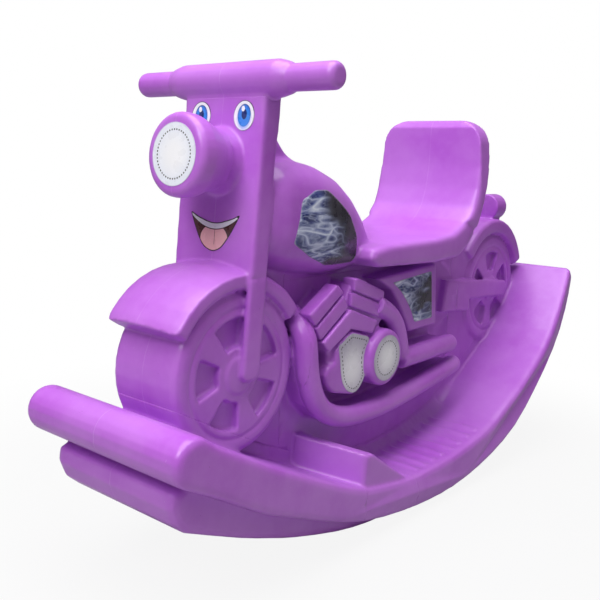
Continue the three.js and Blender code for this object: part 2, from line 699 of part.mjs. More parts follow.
const coverTool = disc(coverCentre, coverRadius + gap, 0, 2 * coverX);
const rootX = coreHalf + gap;
const leftPieces = {
  grip: grip(),
  fork_blade: sideBlock(bladeOutline(0), bladeInnerX, columnHalf, bladeEdge),
  foot_stop: footStop(),
  front_fin_upper: rootedBlock(frontFinUpper, rootX, engineX, finEdge),
  front_fin_lower: rootedBlock(frontFinLower, rootX, engineX, finEdge),
  rear_fin_upper: rootedBlock(rearFinUpper, rootX, engineX, finEdge),
  rear_fin_lower: rootedBlock(rearFinLower, rootX, engineX, finEdge),
  cylinder_chevron: cut(rootedBlock(chevron, rootX, chevronX, finEdge), coverTool),
  crankcase: cut(rootedBlock(crankcase, rootX, crankcaseX, finEdge), coverTool),
  round_cover: disc(coverCentre, coverRadius, rootX, coverX, coverEdge),
  lower_exhaust: cut(rootedBlock(bandOutline(lowPipeLine, lowPipeHalf, 20), rootX, lowPipeX, lowPipeEdge),
    wheelCutter(frontWheelCentre)),
  upper_exhaust: cut(rootedBlock(highPipe, rootX, highPipeX, highPipeEdge), coverTool),
  side_panel: rootedBlock(panel, rootX, panelX, panelEdge),
  swing_arm: cut(sideBlock(armOutline, rootX, armX, armEdge), rearWheelTool(rearWheelHalfWidth),
    rearWheelTool(rearWheelHalfWidth + hubHeight, hubRadius)),
};
for (const [name, geometry] of Object.entries(leftPieces)) {
  moulded(`${name}_left`, geometry);
  moulded(`${name}_right`, mirrored(geometry));
}

const leftLabels = {
  eye_label: [faceLabel(eyeShape(1), eyeZ), white],
  tank_label: [cut(tankLabel(), tankTool), darkPrint],
  shield_label: [cut(sideBlock(shieldLabel, crankcaseX + gap, crankcaseX + gap + labelThickness), coverTool), white],
  cover_label: [disc(coverCentre, coverLabelRadius, coverX + gap, coverX + gap + labelThickness), white],
  panel_label: [sideBlock(panelLabel, panelX + gap, panelX + gap + labelThickness), darkPrint],
};
for (const [name, [geometry, colour]] of Object.entries(leftLabels)) {
  printed(`${name}_left`, geometry, colour);
  printed(`${name}_right`, mirrored(geometry), colour);
}

export default group;
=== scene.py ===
"""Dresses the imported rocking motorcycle: soft moulded plastic, printed labels and a plain pale studio."""

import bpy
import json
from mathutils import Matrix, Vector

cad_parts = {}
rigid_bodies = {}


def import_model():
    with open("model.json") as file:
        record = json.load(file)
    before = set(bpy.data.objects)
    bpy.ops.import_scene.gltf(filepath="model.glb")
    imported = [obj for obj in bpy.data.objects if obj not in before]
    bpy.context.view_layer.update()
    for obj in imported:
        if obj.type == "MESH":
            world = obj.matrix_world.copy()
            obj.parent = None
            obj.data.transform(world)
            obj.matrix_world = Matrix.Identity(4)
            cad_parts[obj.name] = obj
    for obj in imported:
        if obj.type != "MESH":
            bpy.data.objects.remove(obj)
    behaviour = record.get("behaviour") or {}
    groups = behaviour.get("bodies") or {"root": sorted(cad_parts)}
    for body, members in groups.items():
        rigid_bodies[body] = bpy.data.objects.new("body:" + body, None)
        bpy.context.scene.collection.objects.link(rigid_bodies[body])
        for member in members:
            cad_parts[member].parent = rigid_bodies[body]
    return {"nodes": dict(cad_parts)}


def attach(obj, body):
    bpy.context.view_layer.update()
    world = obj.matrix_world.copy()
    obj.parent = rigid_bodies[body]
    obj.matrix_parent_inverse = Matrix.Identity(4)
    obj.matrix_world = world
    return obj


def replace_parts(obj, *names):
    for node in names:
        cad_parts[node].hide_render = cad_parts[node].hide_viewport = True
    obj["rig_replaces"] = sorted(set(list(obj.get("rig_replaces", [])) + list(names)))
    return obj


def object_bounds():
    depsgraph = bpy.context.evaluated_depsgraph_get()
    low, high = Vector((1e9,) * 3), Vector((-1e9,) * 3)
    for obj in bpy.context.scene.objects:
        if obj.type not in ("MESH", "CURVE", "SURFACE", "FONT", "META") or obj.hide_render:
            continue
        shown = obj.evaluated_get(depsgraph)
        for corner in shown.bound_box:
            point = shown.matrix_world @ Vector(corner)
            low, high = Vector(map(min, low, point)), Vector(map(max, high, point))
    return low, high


bl_info = {
    "name": "Rocking motorcycle dressing",
    "version": (1, 0, 0),
    "blender": (4, 5, 0),
    "location": "3D View > Sidebar > Rocking toy",
    "description": "Softens the toy's shapes into one moulding, prints its labels and sets the stage",
    "category": "Object",
}

import json
import math

import bmesh
import bpy
import numpy as np
from bpy.props import FloatProperty, FloatVectorProperty, IntProperty, PointerProperty
from mathutils import Matrix, Vector
from mathutils.bvhtree import BVHTree

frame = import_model()
CAD_LOW, CAD_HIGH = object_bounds()
MOULDED = sorted(name for name in frame["nodes"] if "label" not in name)
SIDES = (("left", 1), ("right", -1))

# The melted moulding while pieces are cut from it, and its surface for the tank labels.
whole = {}

# Outlines below are written in millimetres, as (y, z) pairs seen from the rider's left.
MM = 0.001

# Rocking toy: where its main forms lie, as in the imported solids. The tilt is in radians.
BAR = (-308.8, 598.2)
LAMP_TILT = 0.0784
LAMP_CENTRE = (-398.4, 510.4)
COLUMN_TOP = (-321.5, 590)
COLUMN_FOOT = (-338.6, 372)
CORE_INNER_X = 26

# Where the whole moulding is cut: side outlines of the regions, which run right across the toy.
REGION_HALF = 175
SEAT_REGION = [(-136, 380), (-128, 398.5), (-90, 402), (40, 404), (92, 410), (122, 427), (143, 448),
               (154, 476), (159, 510), (159, 574), (166, 587), (185, 587), (194, 575), (198, 529),
               (194, 496), (184, 450), (168, 412), (144, 383), (112, 366), (40, 363), (-110, 367)]
TANK_REGION = [(-330, 357.5), (-28, 357.5), (-28, 400), (-150, 520), (-250, 585), (-330, 585)]
FORK_REGION = [(-520, 100), (-520, 374), (-520, 640), (-270, 640), (-270, 560), (-296, 530), (-306, 420),
               (-311, 374), (-240, 374), (-240, 100)]
REAR_REGION = [(207, 0), (207, 700), (520, 700), (520, 0)]

# Turned regions, as (radius, distance along the axis) pairs.
LAMP_REGION = [(0, -12), (62, -12), (62, 56), (0, 56)]
BAR_REGION = [(0, -170), (24.5, -170), (24.5, 170), (0, 170)]

# The foot stops run forwards and upwards from the board's edge to the body, per millimetre.
STOP_REGION = [(-181, 20), (-175.5, 131.5), (-150, 129), (-51, 62), (-51, 20)]
STOP_X = (34, 140)
STOP_OUTER_X = 126
STOP_FORWARD_SLOPE = 0.42
STOP_RISE_SLOPE = 0.17

# Where the board's heights are read. The keel's region ends below its underside, the board's above its top.
PROBE_PLACES = range(-506, 508, 4)
KEEL_X = 120
KEEL_ENDS = (-496, 446)
KEEL_DROP = 2.5
BOARD_X = 40
BOARD_RISE = 21
REGION_OVERHANG = 20

# Exhaust tubes: the line, the radius, the outer x, and how far the first points lie further inwards.
PIPES = (([(-226, 314), (-233, 303), (-235, 288), (-234, 272), (-232, 254), (-227, 230), (-213, 199),
           (-186, 175), (-146, 162), (-100, 158.5), (-51, 158.5), (4, 162.5), (60, 169), (118, 177),
           (158, 182.5)],
          15, 83, (36, 16, 2)),
         ([(-80, 313), (-59, 304), (-40, 292), (-24, 275), (-14, 254), (-8, 234)], 14, 82, ()),
         ([(-8, 221), (20, 220.5), (80, 220.8), (139, 222)], 15.5, 83.5, ()))
TUBE_TIP = ((0.5, 0.96), (0.85, 0.72), (1.0, 0.4))
WEB_SHARE = 0.62

# Cylinder fins and the chevron below them, with their outer x, and the block behind them.
FIN_BARS = {"front_fin_upper": (74, [(-237, 318), (-180, 352), (-165.5, 340), (-223.5, 301.5)]),
            "front_fin_lower": (74, [(-222.5, 298.6), (-165.5, 336), (-154, 317.5), (-211, 281)]),
            "rear_fin_upper": (74, [(-143, 356), (-133, 356), (-67, 331.5), (-67, 313.5), (-143, 339.8)]),
            "rear_fin_lower": (74, [(-149, 337), (-141, 336.5), (-77, 314.5), (-77, 294.4), (-149, 318.8)]),
            "cylinder_chevron": (77, [(-210.5, 278.2), (-151, 315.6), (-86, 292), (-96, 274), (-149, 288),
                                      (-197, 264)])}
FIN_INNER_X = 52
FIN_SWELL = 0.3
ENGINE_BED = [(-226, 306), (-181, 341), (-167, 334), (-158, 318), (-147, 340), (-141, 350), (-62, 322),
              (-58, 296), (-76, 272), (-104, 258), (-120, 208), (-142, 202), (-178, 212), (-194, 234),
              (-188, 258), (-206, 280)]
ENGINE_BED_X = 68.5

# Tread ribs: where along the board, (x, lift) pairs along a rib, and (y, z) pairs across it.
RIB_PLACES = range(-26, 143, 24)
RIB_LINE_X = 84
RIB_MIDDLE_X = 83
RIB_FORWARD_SLOPE = 0.07
RIB_LENGTHWISE = ((40, 1.8), (100, 1.8), (113, 0.6), (128, -4.5))
RIB_SECTION = ((-3.6, -5), (-2.2, 0), (2.2, 0), (3.6, -5))

# The body's soft foot on the board: where it starts and ends along the board, and how it fades.
FLARE_SPAN = (-236, 232)
FLARE_INNER = 0.026
FLARE_OVERHANG = 0.004
FLARE_SINK = 0.0006
FLARE_DEPTH = 0.012
FLARE_FADE = 42
FLARE_CURVE = 2.1

# The fillet between the headlamp's barrel and the column, as (radius, depth) pairs.
LAMP_FILLET = [(0, 40), (34.8, 52), (35.8, 62), (36.8, 68), (38.8, 71.4), (39, 82), (0, 82)]

# Places where the plastic is smoothed further: low and high corner, fade at the border, and passes.
SOFT_ZONES = (((-88, 50, 394), (88, 176, 530), 14, 90), ((-95, -312, 352), (95, -50, 540), 10, 34),
              ((-112, 60, 360), (112, 196, 478), 18, 34), ((-60, 130, 80), (60, 236, 175), 14, 30),
              ((-80, -208, 190), (80, -104, 262), 6, 14))

# The fewest faces that a cut piece has.
FEWEST_FACES = 50

# Printed labels: how far their faces stand out, their places and their outlines.
LABEL_LIFT = 0.85
LABEL_DEPTH = 0.7
TANK_LABEL_LIFT = 0.45
TANK_LABEL_DEPTH = 0.6
EYE_AT = (35.3, 557)
EYE_HALF = (16.2, 17.2)
IRIS_SHIFT = 0.5
IRIS_Z = 557.2
TONGUE_AT = (1, 413)
TONGUE_HALF = (22.5, 17.2)
TONGUE_EDGE = 1.2
MOUTH_Z = 443
MOUTH = [(-40, 0), (-37, -8), (-31, -19), (-23.5, -31), (-14, -40.5), (0, -44.5), (13, -40), (23, -29),
         (31, -17), (37, -7), (40, 0), (30, -4), (20, -7), (10, -9.6), (0, -10.6), (-10, -9.6), (-20, -7),
         (-30, -4)]
LENS_RADIUS = 35.4
COVER_CENTRE = (-71.5, 236.7)
COVER_RADIUS = 33
COVER_X = 86
SHIELD_CENTRE = (-143, 232)
SHIELD_X = 76
SILVER_SHADE = (0.44, 0.40, 0.50)
SHIELD = [(-175.6, 267), (-168, 272), (-160.7, 276.4), (-152, 280.2), (-144, 281.4), (-125, 276.6),
          (-107, 270.2), (-109, 260), (-115, 249.4), (-116.2, 238), (-112.6, 225.4), (-113, 215.6),
          (-119, 206.8), (-127.4, 199.6), (-136.8, 197.3), (-147, 200), (-156.9, 207), (-164.6, 217.8),
          (-169, 231.7), (-172, 247.8)]
PANEL = [(-28, 338), (28, 342), (84, 346), (89, 308), (94, 270), (67, 270), (40, 270), (30, 287),
         (18, 302), (-3, 322)]
PANEL_X = 61
TANK_ROWS = [(377, -196, -134), (392, -238, -134), (410, -272, -136), (440, -266, -158),
             (462, -262, -190), (474, -236, -210)]

# Lights: place, aim, size and share of the key light's power. The camera's angles are yaw, pitch and roll.
LIGHTS = (("key light", (0.1, -0.5, 2.5), (0, 0, 0.2), 2.0, 1.0),
          ("window light", (0.2, -2.0, 1.9), (0, -0.2, 0.3), 0.9, 0.40),
          ("fill light", (2.3, 0.3, 1.0), (0, 0, 0.3), 1.8, 0.015))
CAMERA_PLACE = (0.65854, -0.97944, 0.50438)
CAMERA_ANGLES = (39.03, -10.03, 2.1)
CAMERA_LENS = 46.04
FLOOR_SIZE = 12.0


def length_setting(name, description, default, low=0.0):
    return FloatProperty(name=name, description=description, default=default, min=low, unit="LENGTH")


def colour_setting(name, description, default):
    return FloatVectorProperty(name=name, description=description, default=default, size=3, subtype="COLOR")


class MouldingSettings(bpy.types.PropertyGroup):
    voxel: length_setting("Voxel", "Grid that the shapes are melted together on", 0.0021, 0.001)
    swell: length_setting("Swell", "How far each shape grows, so that neighbours meet", 0.00045)
    smoothing: IntProperty(name="Smoothing", description="Passes that round the edges and inner corners",
                           default=5, min=0)
    fin_voxel: length_setting("Fin voxel", "Finer grid for the cylinder fins", 0.00115, 0.0005)
    fin_smoothing: IntProperty(name="Fin smoothing", description="Passes that round the cylinder fins",
                               default=38, min=0)
    budget: IntProperty(name="Triangles", description="Most triangles in one piece", default=185000, min=1000)
    flare_width: length_setting("Flare width", "How far the body's foot spreads on the board", 0.018)
    flare_height: length_setting("Flare height", "How high the body's foot rises from the board", 0.019)


class FinishSettings(bpy.types.PropertyGroup):
    purple: colour_setting("Purple", "Colour of the moulded plastic", (0.50, 0.12, 0.70))
    roughness: FloatProperty(name="Roughness", description="Satin gloss of the moulded plastic",
                             default=0.31, min=0.0, max=1.0, subtype="FACTOR")
    silver: colour_setting("Label silver", "Pale colour of the engine and lamp labels", (0.78, 0.80, 0.86))
    night: colour_setting("Label dark", "Dark ground of the streaked labels", (0.022, 0.020, 0.034))
    iris: colour_setting("Iris", "Blue of the printed eyes", (0.02, 0.15, 0.64))
    tongue: colour_setting("Tongue", "Pink of the printed tongue", (0.86, 0.47, 0.48))


class StageSettings(bpy.types.PropertyGroup):
    floor: colour_setting("Floor", "Colour of the floor", (0.42, 0.42, 0.43))
    key_power: FloatProperty(name="Key light", description="Strength of the large light overhead",
                             default=61.0, min=0.0, unit="POWER")
    world: FloatProperty(name="Room light", description="Strength of the even light from all round",
                         default=0.29, min=0.0)


# Mesh helpers.

def link(name, mesh):
    """A new object in the scene."""
    thing = bpy.data.objects.new(name, mesh)
    bpy.context.scene.collection.objects.link(thing)
    return thing


def to_object(name, shape):
    """Turns a bmesh into an object and frees it."""
    mesh = bpy.data.meshes.new(name)
    shape.to_mesh(mesh)
    shape.free()
    return link(name, mesh)


def settle(thing):
    """Turns a piece and its modifiers into one plain mesh."""
    graph = bpy.context.evaluated_depsgraph_get()
    mesh = bpy.data.meshes.new_from_object(thing.evaluated_get(graph))
    before = thing.data
    thing.modifiers.clear()
    thing.data = mesh
    bpy.data.meshes.remove(before)


def add_to(shape, other):
    """Adds one bmesh to another and frees it."""
    mesh = bpy.data.meshes.new("passing")
    other.to_mesh(mesh)
    other.free()
    shape.from_mesh(mesh)
    bpy.data.meshes.remove(mesh)


def weld(shape):
    """Merges corners that lie on each other."""
    bmesh.ops.remove_doubles(shape, verts=shape.verts, dist=1e-6)


def face_out(shape):
    """Turns all faces outwards."""
    bmesh.ops.recalc_face_normals(shape, faces=shape.faces)


def move(shape, matrix):
    """Moves a whole bmesh."""
    bmesh.ops.transform(shape, matrix=matrix, verts=shape.verts)


def solid_copy(node, swell):
    """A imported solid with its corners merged, grown outwards a little."""
    shape = bmesh.new()
    shape.from_mesh(frame["nodes"][node].data)
    weld(shape)
    shape.normal_update()
    for vert in shape.verts:
        vert.co += vert.normal * swell
    return shape


def thicken(shape, by):
    """Pulls a copy of all faces along a vector and closes the sides."""
    grown = bmesh.ops.extrude_face_region(shape, geom=list(shape.faces))
    moved = [item for item in grown["geom"] if isinstance(item, bmesh.types.BMVert)]
    bmesh.ops.translate(shape, verts=moved, vec=by)


def prism(outline, low_x=-REGION_HALF, high_x=REGION_HALF):
    """A closed block: a side outline in millimetres, pulled along X."""
    shape = bmesh.new()
    shape.faces.new([shape.verts.new((low_x * MM, y * MM, z * MM)) for y, z in outline])
    thicken(shape, ((high_x - low_x) * MM, 0, 0))
    face_out(shape)
    return shape


def side_prism(outline, inner_x, outer_x, side):
    """A closed block on one side of the toy."""
    return prism(outline, *sorted((side * inner_x, side * outer_x)))


def spun(profile, steps=64):
    """A closed turned shape about the Y axis, from (radius, y) pairs in millimetres."""
    shape = bmesh.new()
    line = [shape.verts.new((r * MM, y * MM, 0)) for r, y in profile]
    edges = [shape.edges.new(pair) for pair in zip(line, line[1:])]
    bmesh.ops.spin(shape, geom=line + edges, cent=(0, 0, 0), axis=(0, 1, 0), angle=2 * math.pi, steps=steps,
                   use_merge=True, use_duplicate=False)
    weld(shape)
    face_out(shape)
    return shape


def on_face(centre):
    """Places a shape built facing -Y at the origin onto the tilted front face."""
    return Matrix.Translation((0, centre[0] * MM, centre[1] * MM)) @ Matrix.Rotation(-LAMP_TILT, 4, "X")


def column_y(z):
    """Where the column's front face lies at one height."""
    share = (COLUMN_TOP[1] - z) / (COLUMN_TOP[1] - COLUMN_FOOT[1])
    return COLUMN_TOP[0] + (COLUMN_FOOT[0] - COLUMN_TOP[0]) * share


def deck_heights(x, above):
    """Heights of the board's top or underside at one x, as (y, z) pairs in millimetres."""
    shape = solid_copy("rocker_deck", 0)
    tree = BVHTree.FromBMesh(shape)
    start, way = (2.0, -1) if above else (-1.0, 1)
    found = []
    for y in PROBE_PLACES:
        hit = tree.ray_cast(Vector((x * MM, y * MM, start)), Vector((0, 0, way)))[0]
        if hit:
            found.append((y, hit.z / MM))
    shape.free()
    return found


def filled(line, base):
    """A closed outline between a line of heights and a level, longer at both ends."""
    first, last = line[0][0] - REGION_OVERHANG, line[-1][0] + REGION_OVERHANG
    return [(first, base), (first, line[0][1]), *line, (last, line[-1][1]), (last, base)]


def body_flare(settings):
    """The soft foot where the body widens into the board: one smooth hollow curve on each side."""
    line = dict(deck_heights(BOARD_X, True))
    first, last = FLARE_SPAN
    step = PROBE_PLACES.step
    shape = bmesh.new()
    for side in (-1, 1):
        part = bmesh.new()
        bmesh.ops.create_grid(part, x_segments=20, y_segments=(last - first) // step, size=0.5)
        for vert in part.verts:
            share = vert.co.x + 0.5
            y = round((first + (last - first) * (vert.co.y + 0.5)) / step) * step
            y = y + (-2 if y - 2 in line else 2)
            height = settings.flare_height * max(0.0, 1 - share) ** FLARE_CURVE
            fade = min(1.0, (y - first) / FLARE_FADE, (last - y) / FLARE_FADE)
            height *= max(0.0, fade) ** 0.5
            out = FLARE_INNER + (settings.flare_width + FLARE_OVERHANG) * share
            vert.co = (side * out, y * MM, line[y] * MM + height - FLARE_SINK)
        thicken(part, (0, 0, -FLARE_DEPTH))
        face_out(part)
        add_to(shape, part)
    return shape


def rib_bars():
    """Tread ribs across the board, each sinking into it at its outer end."""
    tops = dict(deck_heights(RIB_LINE_X, True))
    shape = bmesh.new()
    for side in (-1, 1):
        for y in RIB_PLACES:
            slope = (tops[y + 12] - tops[y - 12]) / 24
            rows = []
            for x, lift in RIB_LENGTHWISE:
                middle = y + RIB_FORWARD_SLOPE * (x - RIB_MIDDLE_X)
                rows.append([])
                for along, up in RIB_SECTION:
                    along += middle
                    up += tops[y] + slope * (along - y) + lift
                    rows[-1].append(shape.verts.new((side * x * MM, along * MM, up * MM)))
            for before, after in zip(rows, rows[1:]):
                for i in range(4):
                    shape.faces.new((before[i], before[(i + 1) % 4], after[(i + 1) % 4], after[i]))
            shape.faces.new(rows[0])
            shape.faces.new(rows[-1])
    face_out(shape)
    return shape


def tube(points, radius, outer_x, inwards, side):
    """A round tube along a side line, and the web that joins it to the body; its start may bend inwards."""
    curve = bpy.data.curves.new("tube", "CURVE")
    curve.dimensions = "3D"
    curve.bevel_depth = radius * MM
    curve.bevel_resolution = 6
    curve.resolution_u = 8
    curve.use_fill_caps = True
    line = curve.splines.new("NURBS")
    ahead = (Vector(points[-1]) - Vector(points[-2])).normalized() * radius
    tip = [(*(Vector(points[-1]) + ahead * reach), thin) for reach, thin in TUBE_TIP]
    stations = [*((y, z, 1.0) for y, z in points), *tip]
    line.points.add(len(stations) - 1)
    bends = [*inwards, *[0] * (len(stations) - len(inwards))]
    for point, bend, (y, z, thin) in zip(line.points, bends, stations):
        point.co = (side * (outer_x - radius - bend) * MM, y * MM, z * MM, 1.0)
        point.radius = thin
    line.order_u = 3
    line.use_endpoint_u = True
    holder = link("tube", curve)
    settled = bpy.data.meshes.new_from_object(holder.evaluated_get(bpy.context.evaluated_depsgraph_get()))
    bpy.data.objects.remove(holder)
    shape = bmesh.new()
    shape.from_mesh(settled)
    weld(shape)
    face_out(shape)
    points = points[max(0, len(inwards) - 1):]
    half = radius * WEB_SHARE
    steps = [Vector(b) - Vector(a) for a, b in zip(points, points[1:])]
    across = [Vector((-step.y, step.x)).normalized() * half for step in [*steps, steps[-1]]]
    web = [Vector(point) + turn for point, turn in zip(points, across)]
    web += [Vector(point) - turn for point, turn in reversed(list(zip(points, across)))]
    add_to(shape, side_prism(web, CORE_INNER_X, outer_x - radius, side))
    return shape


def engine_shapes():
    """Exhaust tubes, and the block that the fins, the chevron and the crankcase stand on."""
    shape = bmesh.new()
    for side in (-1, 1):
        for pipe in PIPES:
            add_to(shape, tube(*pipe, side))
        add_to(shape, side_prism(ENGINE_BED, CORE_INNER_X, ENGINE_BED_X, side))
    return shape


def lamp_flare():
    """The headlamp's barrel spreads softly where it grows out of the column."""
    shape = spun(LAMP_FILLET)
    move(shape, on_face(LAMP_CENTRE))
    return shape


def add_smooth(thing, passes):
    """Rounds edges and inner corners."""
    soften = thing.modifiers.new("soften", "SMOOTH")
    soften.factor = 0.5
    soften.iterations = passes
    return soften


def melt(thing, voxel, passes):
    """Melts a piece's shapes together and smooths the result."""
    change = thing.modifiers.new("melt", "REMESH")
    change.mode = "VOXEL"
    change.voxel_size = voxel
    change.use_smooth_shade = True
    add_smooth(thing, passes)
    settle(thing)


def soften_zones(moulding):
    """Smooths chosen places further, fading out towards their borders."""
    places = np.zeros(len(moulding.data.vertices) * 3, np.float32)
    moulding.data.vertices.foreach_get("co", places)
    places = places.reshape(-1, 3) / MM
    for number, (low, high, fade, passes) in enumerate(SOFT_ZONES):
        inside = np.minimum((places - np.array(low)).min(axis=1), (np.array(high) - places).min(axis=1))
        weights = np.clip(inside / fade, 0.0, 1.0)
        group = moulding.vertex_groups.new(name=f"zone {number}")
        for level in range(1, 11):
            chosen = np.nonzero((weights > (level - 1) / 10) & (weights <= level / 10))[0]
            if len(chosen):
                group.add(chosen.tolist(), level / 10, "REPLACE")
        soften = add_smooth(moulding, passes)
        soften.vertex_group = group.name


def cut_piece(name, region, nodes):
    """Cuts the part of the whole moulding inside a closed region off it, or takes all that is left."""
    rest = whole["moulding"]
    piece = link(name, rest.data.copy())
    if region is not None:
        tool = to_object("region", region)
        tool.data.materials.append(None)
        tool.data.materials.append(None)
        for face in tool.data.polygons:
            face.material_index = 1
        for target, way in ((piece, "INTERSECT"), (rest, "DIFFERENCE")):
            change = target.modifiers.new("cut", "BOOLEAN")
            change.operation = way
            change.solver = "MANIFOLD"
            change.material_mode = "INDEX"
            change.object = tool
            settle(target)
        bpy.data.objects.remove(tool)
    if len(piece.data.polygons) < FEWEST_FACES:
        raise RuntimeError(f"{name} came out empty")
    triangles = sum(len(face.vertices) - 2 for face in piece.data.polygons)
    budget = bpy.context.scene.toy_moulding.budget
    if triangles > budget:
        thin = piece.modifiers.new("thin", "DECIMATE")
        thin.ratio = budget / triangles
        settle(piece)
    finish_moulded(piece, nodes)


def finish_moulded(piece, nodes):
    """Smooth shading with crisp hidden cut faces, the plastic, and its place on the toy."""
    shape = bmesh.new()
    shape.from_mesh(piece.data)
    for vert in shape.verts:
        vert.co = Vector(tuple(min(max(vert.co[i], CAD_LOW[i]), CAD_HIGH[i]) for i in range(3)))
    for face in shape.faces:
        face.smooth = True
    for edge in shape.edges:
        if len({face.material_index for face in edge.link_faces}) > 1:
            edge.smooth = False
    for face in shape.faces:
        face.material_index = 0
    shape.to_mesh(piece.data)
    shape.free()
    piece.data.materials.clear()
    piece.data.materials.append(moulded_plastic())
    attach(piece, "root")
    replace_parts(piece, *nodes)


# Shader helpers.

class Wiring:
    """Adds and joins shader nodes with few words."""

    def __init__(self, tree):
        self.tree = tree

    def add(self, kind, **settings):
        node = self.tree.nodes.new(kind)
        for key, value in settings.items():
            setattr(node, key, value)
        return node

    def feed(self, socket, value):
        """Joins or sets a socket. A colour is given without its alpha."""
        if isinstance(value, bpy.types.NodeSocket):
            self.tree.links.new(value, socket)
        elif value is not None:
            socket.default_value = (*value, 1.0) if socket.type == "RGBA" else value

    def feed_all(self, node, values):
        """Feeds inputs by name."""
        for key, value in values.items():
            self.feed(node.inputs[key], value)
        return node.outputs

    def feed_row(self, sockets, values):
        """Feeds inputs in their order."""
        for socket, value in zip(sockets, values):
            self.feed(socket, value)

    def math(self, operation, a, b=None, clamp=False):
        node = self.add("ShaderNodeMath", operation=operation, use_clamp=clamp)
        self.feed_row(node.inputs, (a, b))
        return node.outputs[0]

    def times(self, a, b):
        return self.math("MULTIPLY", a, b)

    def plus(self, a, b, clamp=False):
        return self.math("ADD", a, b, clamp)

    def minus(self, a, b, clamp=False):
        return self.math("SUBTRACT", a, b, clamp)

    def away(self, a, b):
        """How far two values are apart."""
        return self.math("ABSOLUTE", self.minus(a, b))

    def length(self, a, b):
        """The length of a flat vector."""
        return self.math("SQRT", self.plus(self.times(a, a), self.times(b, b)))

    def vector(self, operation, a, b=None):
        node = self.add("ShaderNodeVectorMath", operation=operation)
        self.feed_row(node.inputs, (a, b))
        return node.outputs

    def mix(self, share, a, b):
        node = self.add("ShaderNodeMix", data_type="RGBA")
        self.feed_row((node.inputs[0], node.inputs[6], node.inputs[7]), (share, a, b))
        return node.outputs[2]

    def paint(self, colour, mask, share, ink):
        """Lays an ink over a colour where a mask is high."""
        return self.mix(self.times(mask, share), colour, ink)

    def noise(self, vector, scale, detail=2.0, rough=0.5, twist=0.0, output="Fac"):
        node = self.add("ShaderNodeTexNoise")
        return self.feed_all(node, {"Vector": vector, "Scale": scale, "Detail": detail, "Roughness": rough,
                                    "Distortion": twist})[output]

    def ramp(self, value, low, high, start=0.0, end=1.0):
        node = self.add("ShaderNodeMapRange", interpolation_type="SMOOTHSTEP")
        self.feed_row(node.inputs, (value, low, high, start, end))
        return node.outputs[0]

    def fall(self, value, low, high):
        """One below the low value, and nothing above the high one."""
        return self.ramp(value, low, high, 1.0, 0.0)

    def split(self, vector):
        node = self.add("ShaderNodeSeparateXYZ")
        self.feed(node.inputs[0], vector)
        return node.outputs

    def place(self, vector, location=(0, 0, 0), turn=(0, 0, 0), scale=(1, 1, 1)):
        node = self.add("ShaderNodeMapping")
        return self.feed_all(node, {"Vector": vector, "Location": location, "Rotation": turn,
                                    "Scale": scale})[0]

    def coords(self, kind="Object"):
        return self.add("ShaderNodeTexCoord").outputs[kind]

    def rim(self, low, high):
        """A label's border, between two distances from its edge in metres."""
        return self.fall(self.split(self.coords("UV"))[1], low, high)

    def blend(self, share, first, second, output):
        """Mixes two shaders and feeds them to the output."""
        node = self.add("ShaderNodeMixShader")
        self.feed_row(node.inputs, (share, first, second))
        self.feed(self.tree.nodes[output].inputs["Surface"], node.outputs[0])


# Sockets of the shader groups that aren't plain values.
COLOURS = ("Colour", "Ground")
VECTORS = ("Vector", "Centre")


def node_group(name, inputs, build):
    """A shader node group with named sockets, built once. Every input is given where the group is used."""
    tree = bpy.data.node_groups.get(name)
    if tree:
        return tree
    tree = bpy.data.node_groups.new(name, "ShaderNodeTree")

    def socket(label, way):
        kind = "Color" if label in COLOURS else "Vector" if label in VECTORS else "Float"
        tree.interface.new_socket(label, in_out=way, socket_type=f"NodeSocket{kind}")

    for label in inputs:
        socket(label, "INPUT")
    wiring = Wiring(tree)
    begin, end = wiring.add("NodeGroupInput"), wiring.add("NodeGroupOutput")
    made = build(wiring, begin.outputs)
    for label in made:
        socket(label, "OUTPUT")
    wiring.feed_all(end, made)
    return tree


def use_group(wiring, tree, **values):
    """Places a group with its own values and gives its outputs."""
    node = wiring.add("ShaderNodeGroup", node_tree=tree)
    return wiring.feed_all(node, {key.replace("_", " "): value for key, value in values.items()})


def new_material(name):
    """A material with its wiring and its main shader."""
    material = bpy.data.materials.new(name)
    material.use_nodes = True
    return material, Wiring(material.node_tree), material.node_tree.nodes["Principled BSDF"]


def dress(wiring, shader, colour, roughness, height, strength, depth):
    """Feeds a surface's colour, gloss and fine relief to its shader."""
    bump = wiring.add("ShaderNodeBump")
    wiring.feed_all(bump, {"Strength": strength, "Distance": depth, "Height": height})
    wiring.feed_all(shader, {"Base Color": colour, "Roughness": roughness, "Normal": bump.outputs[0]})


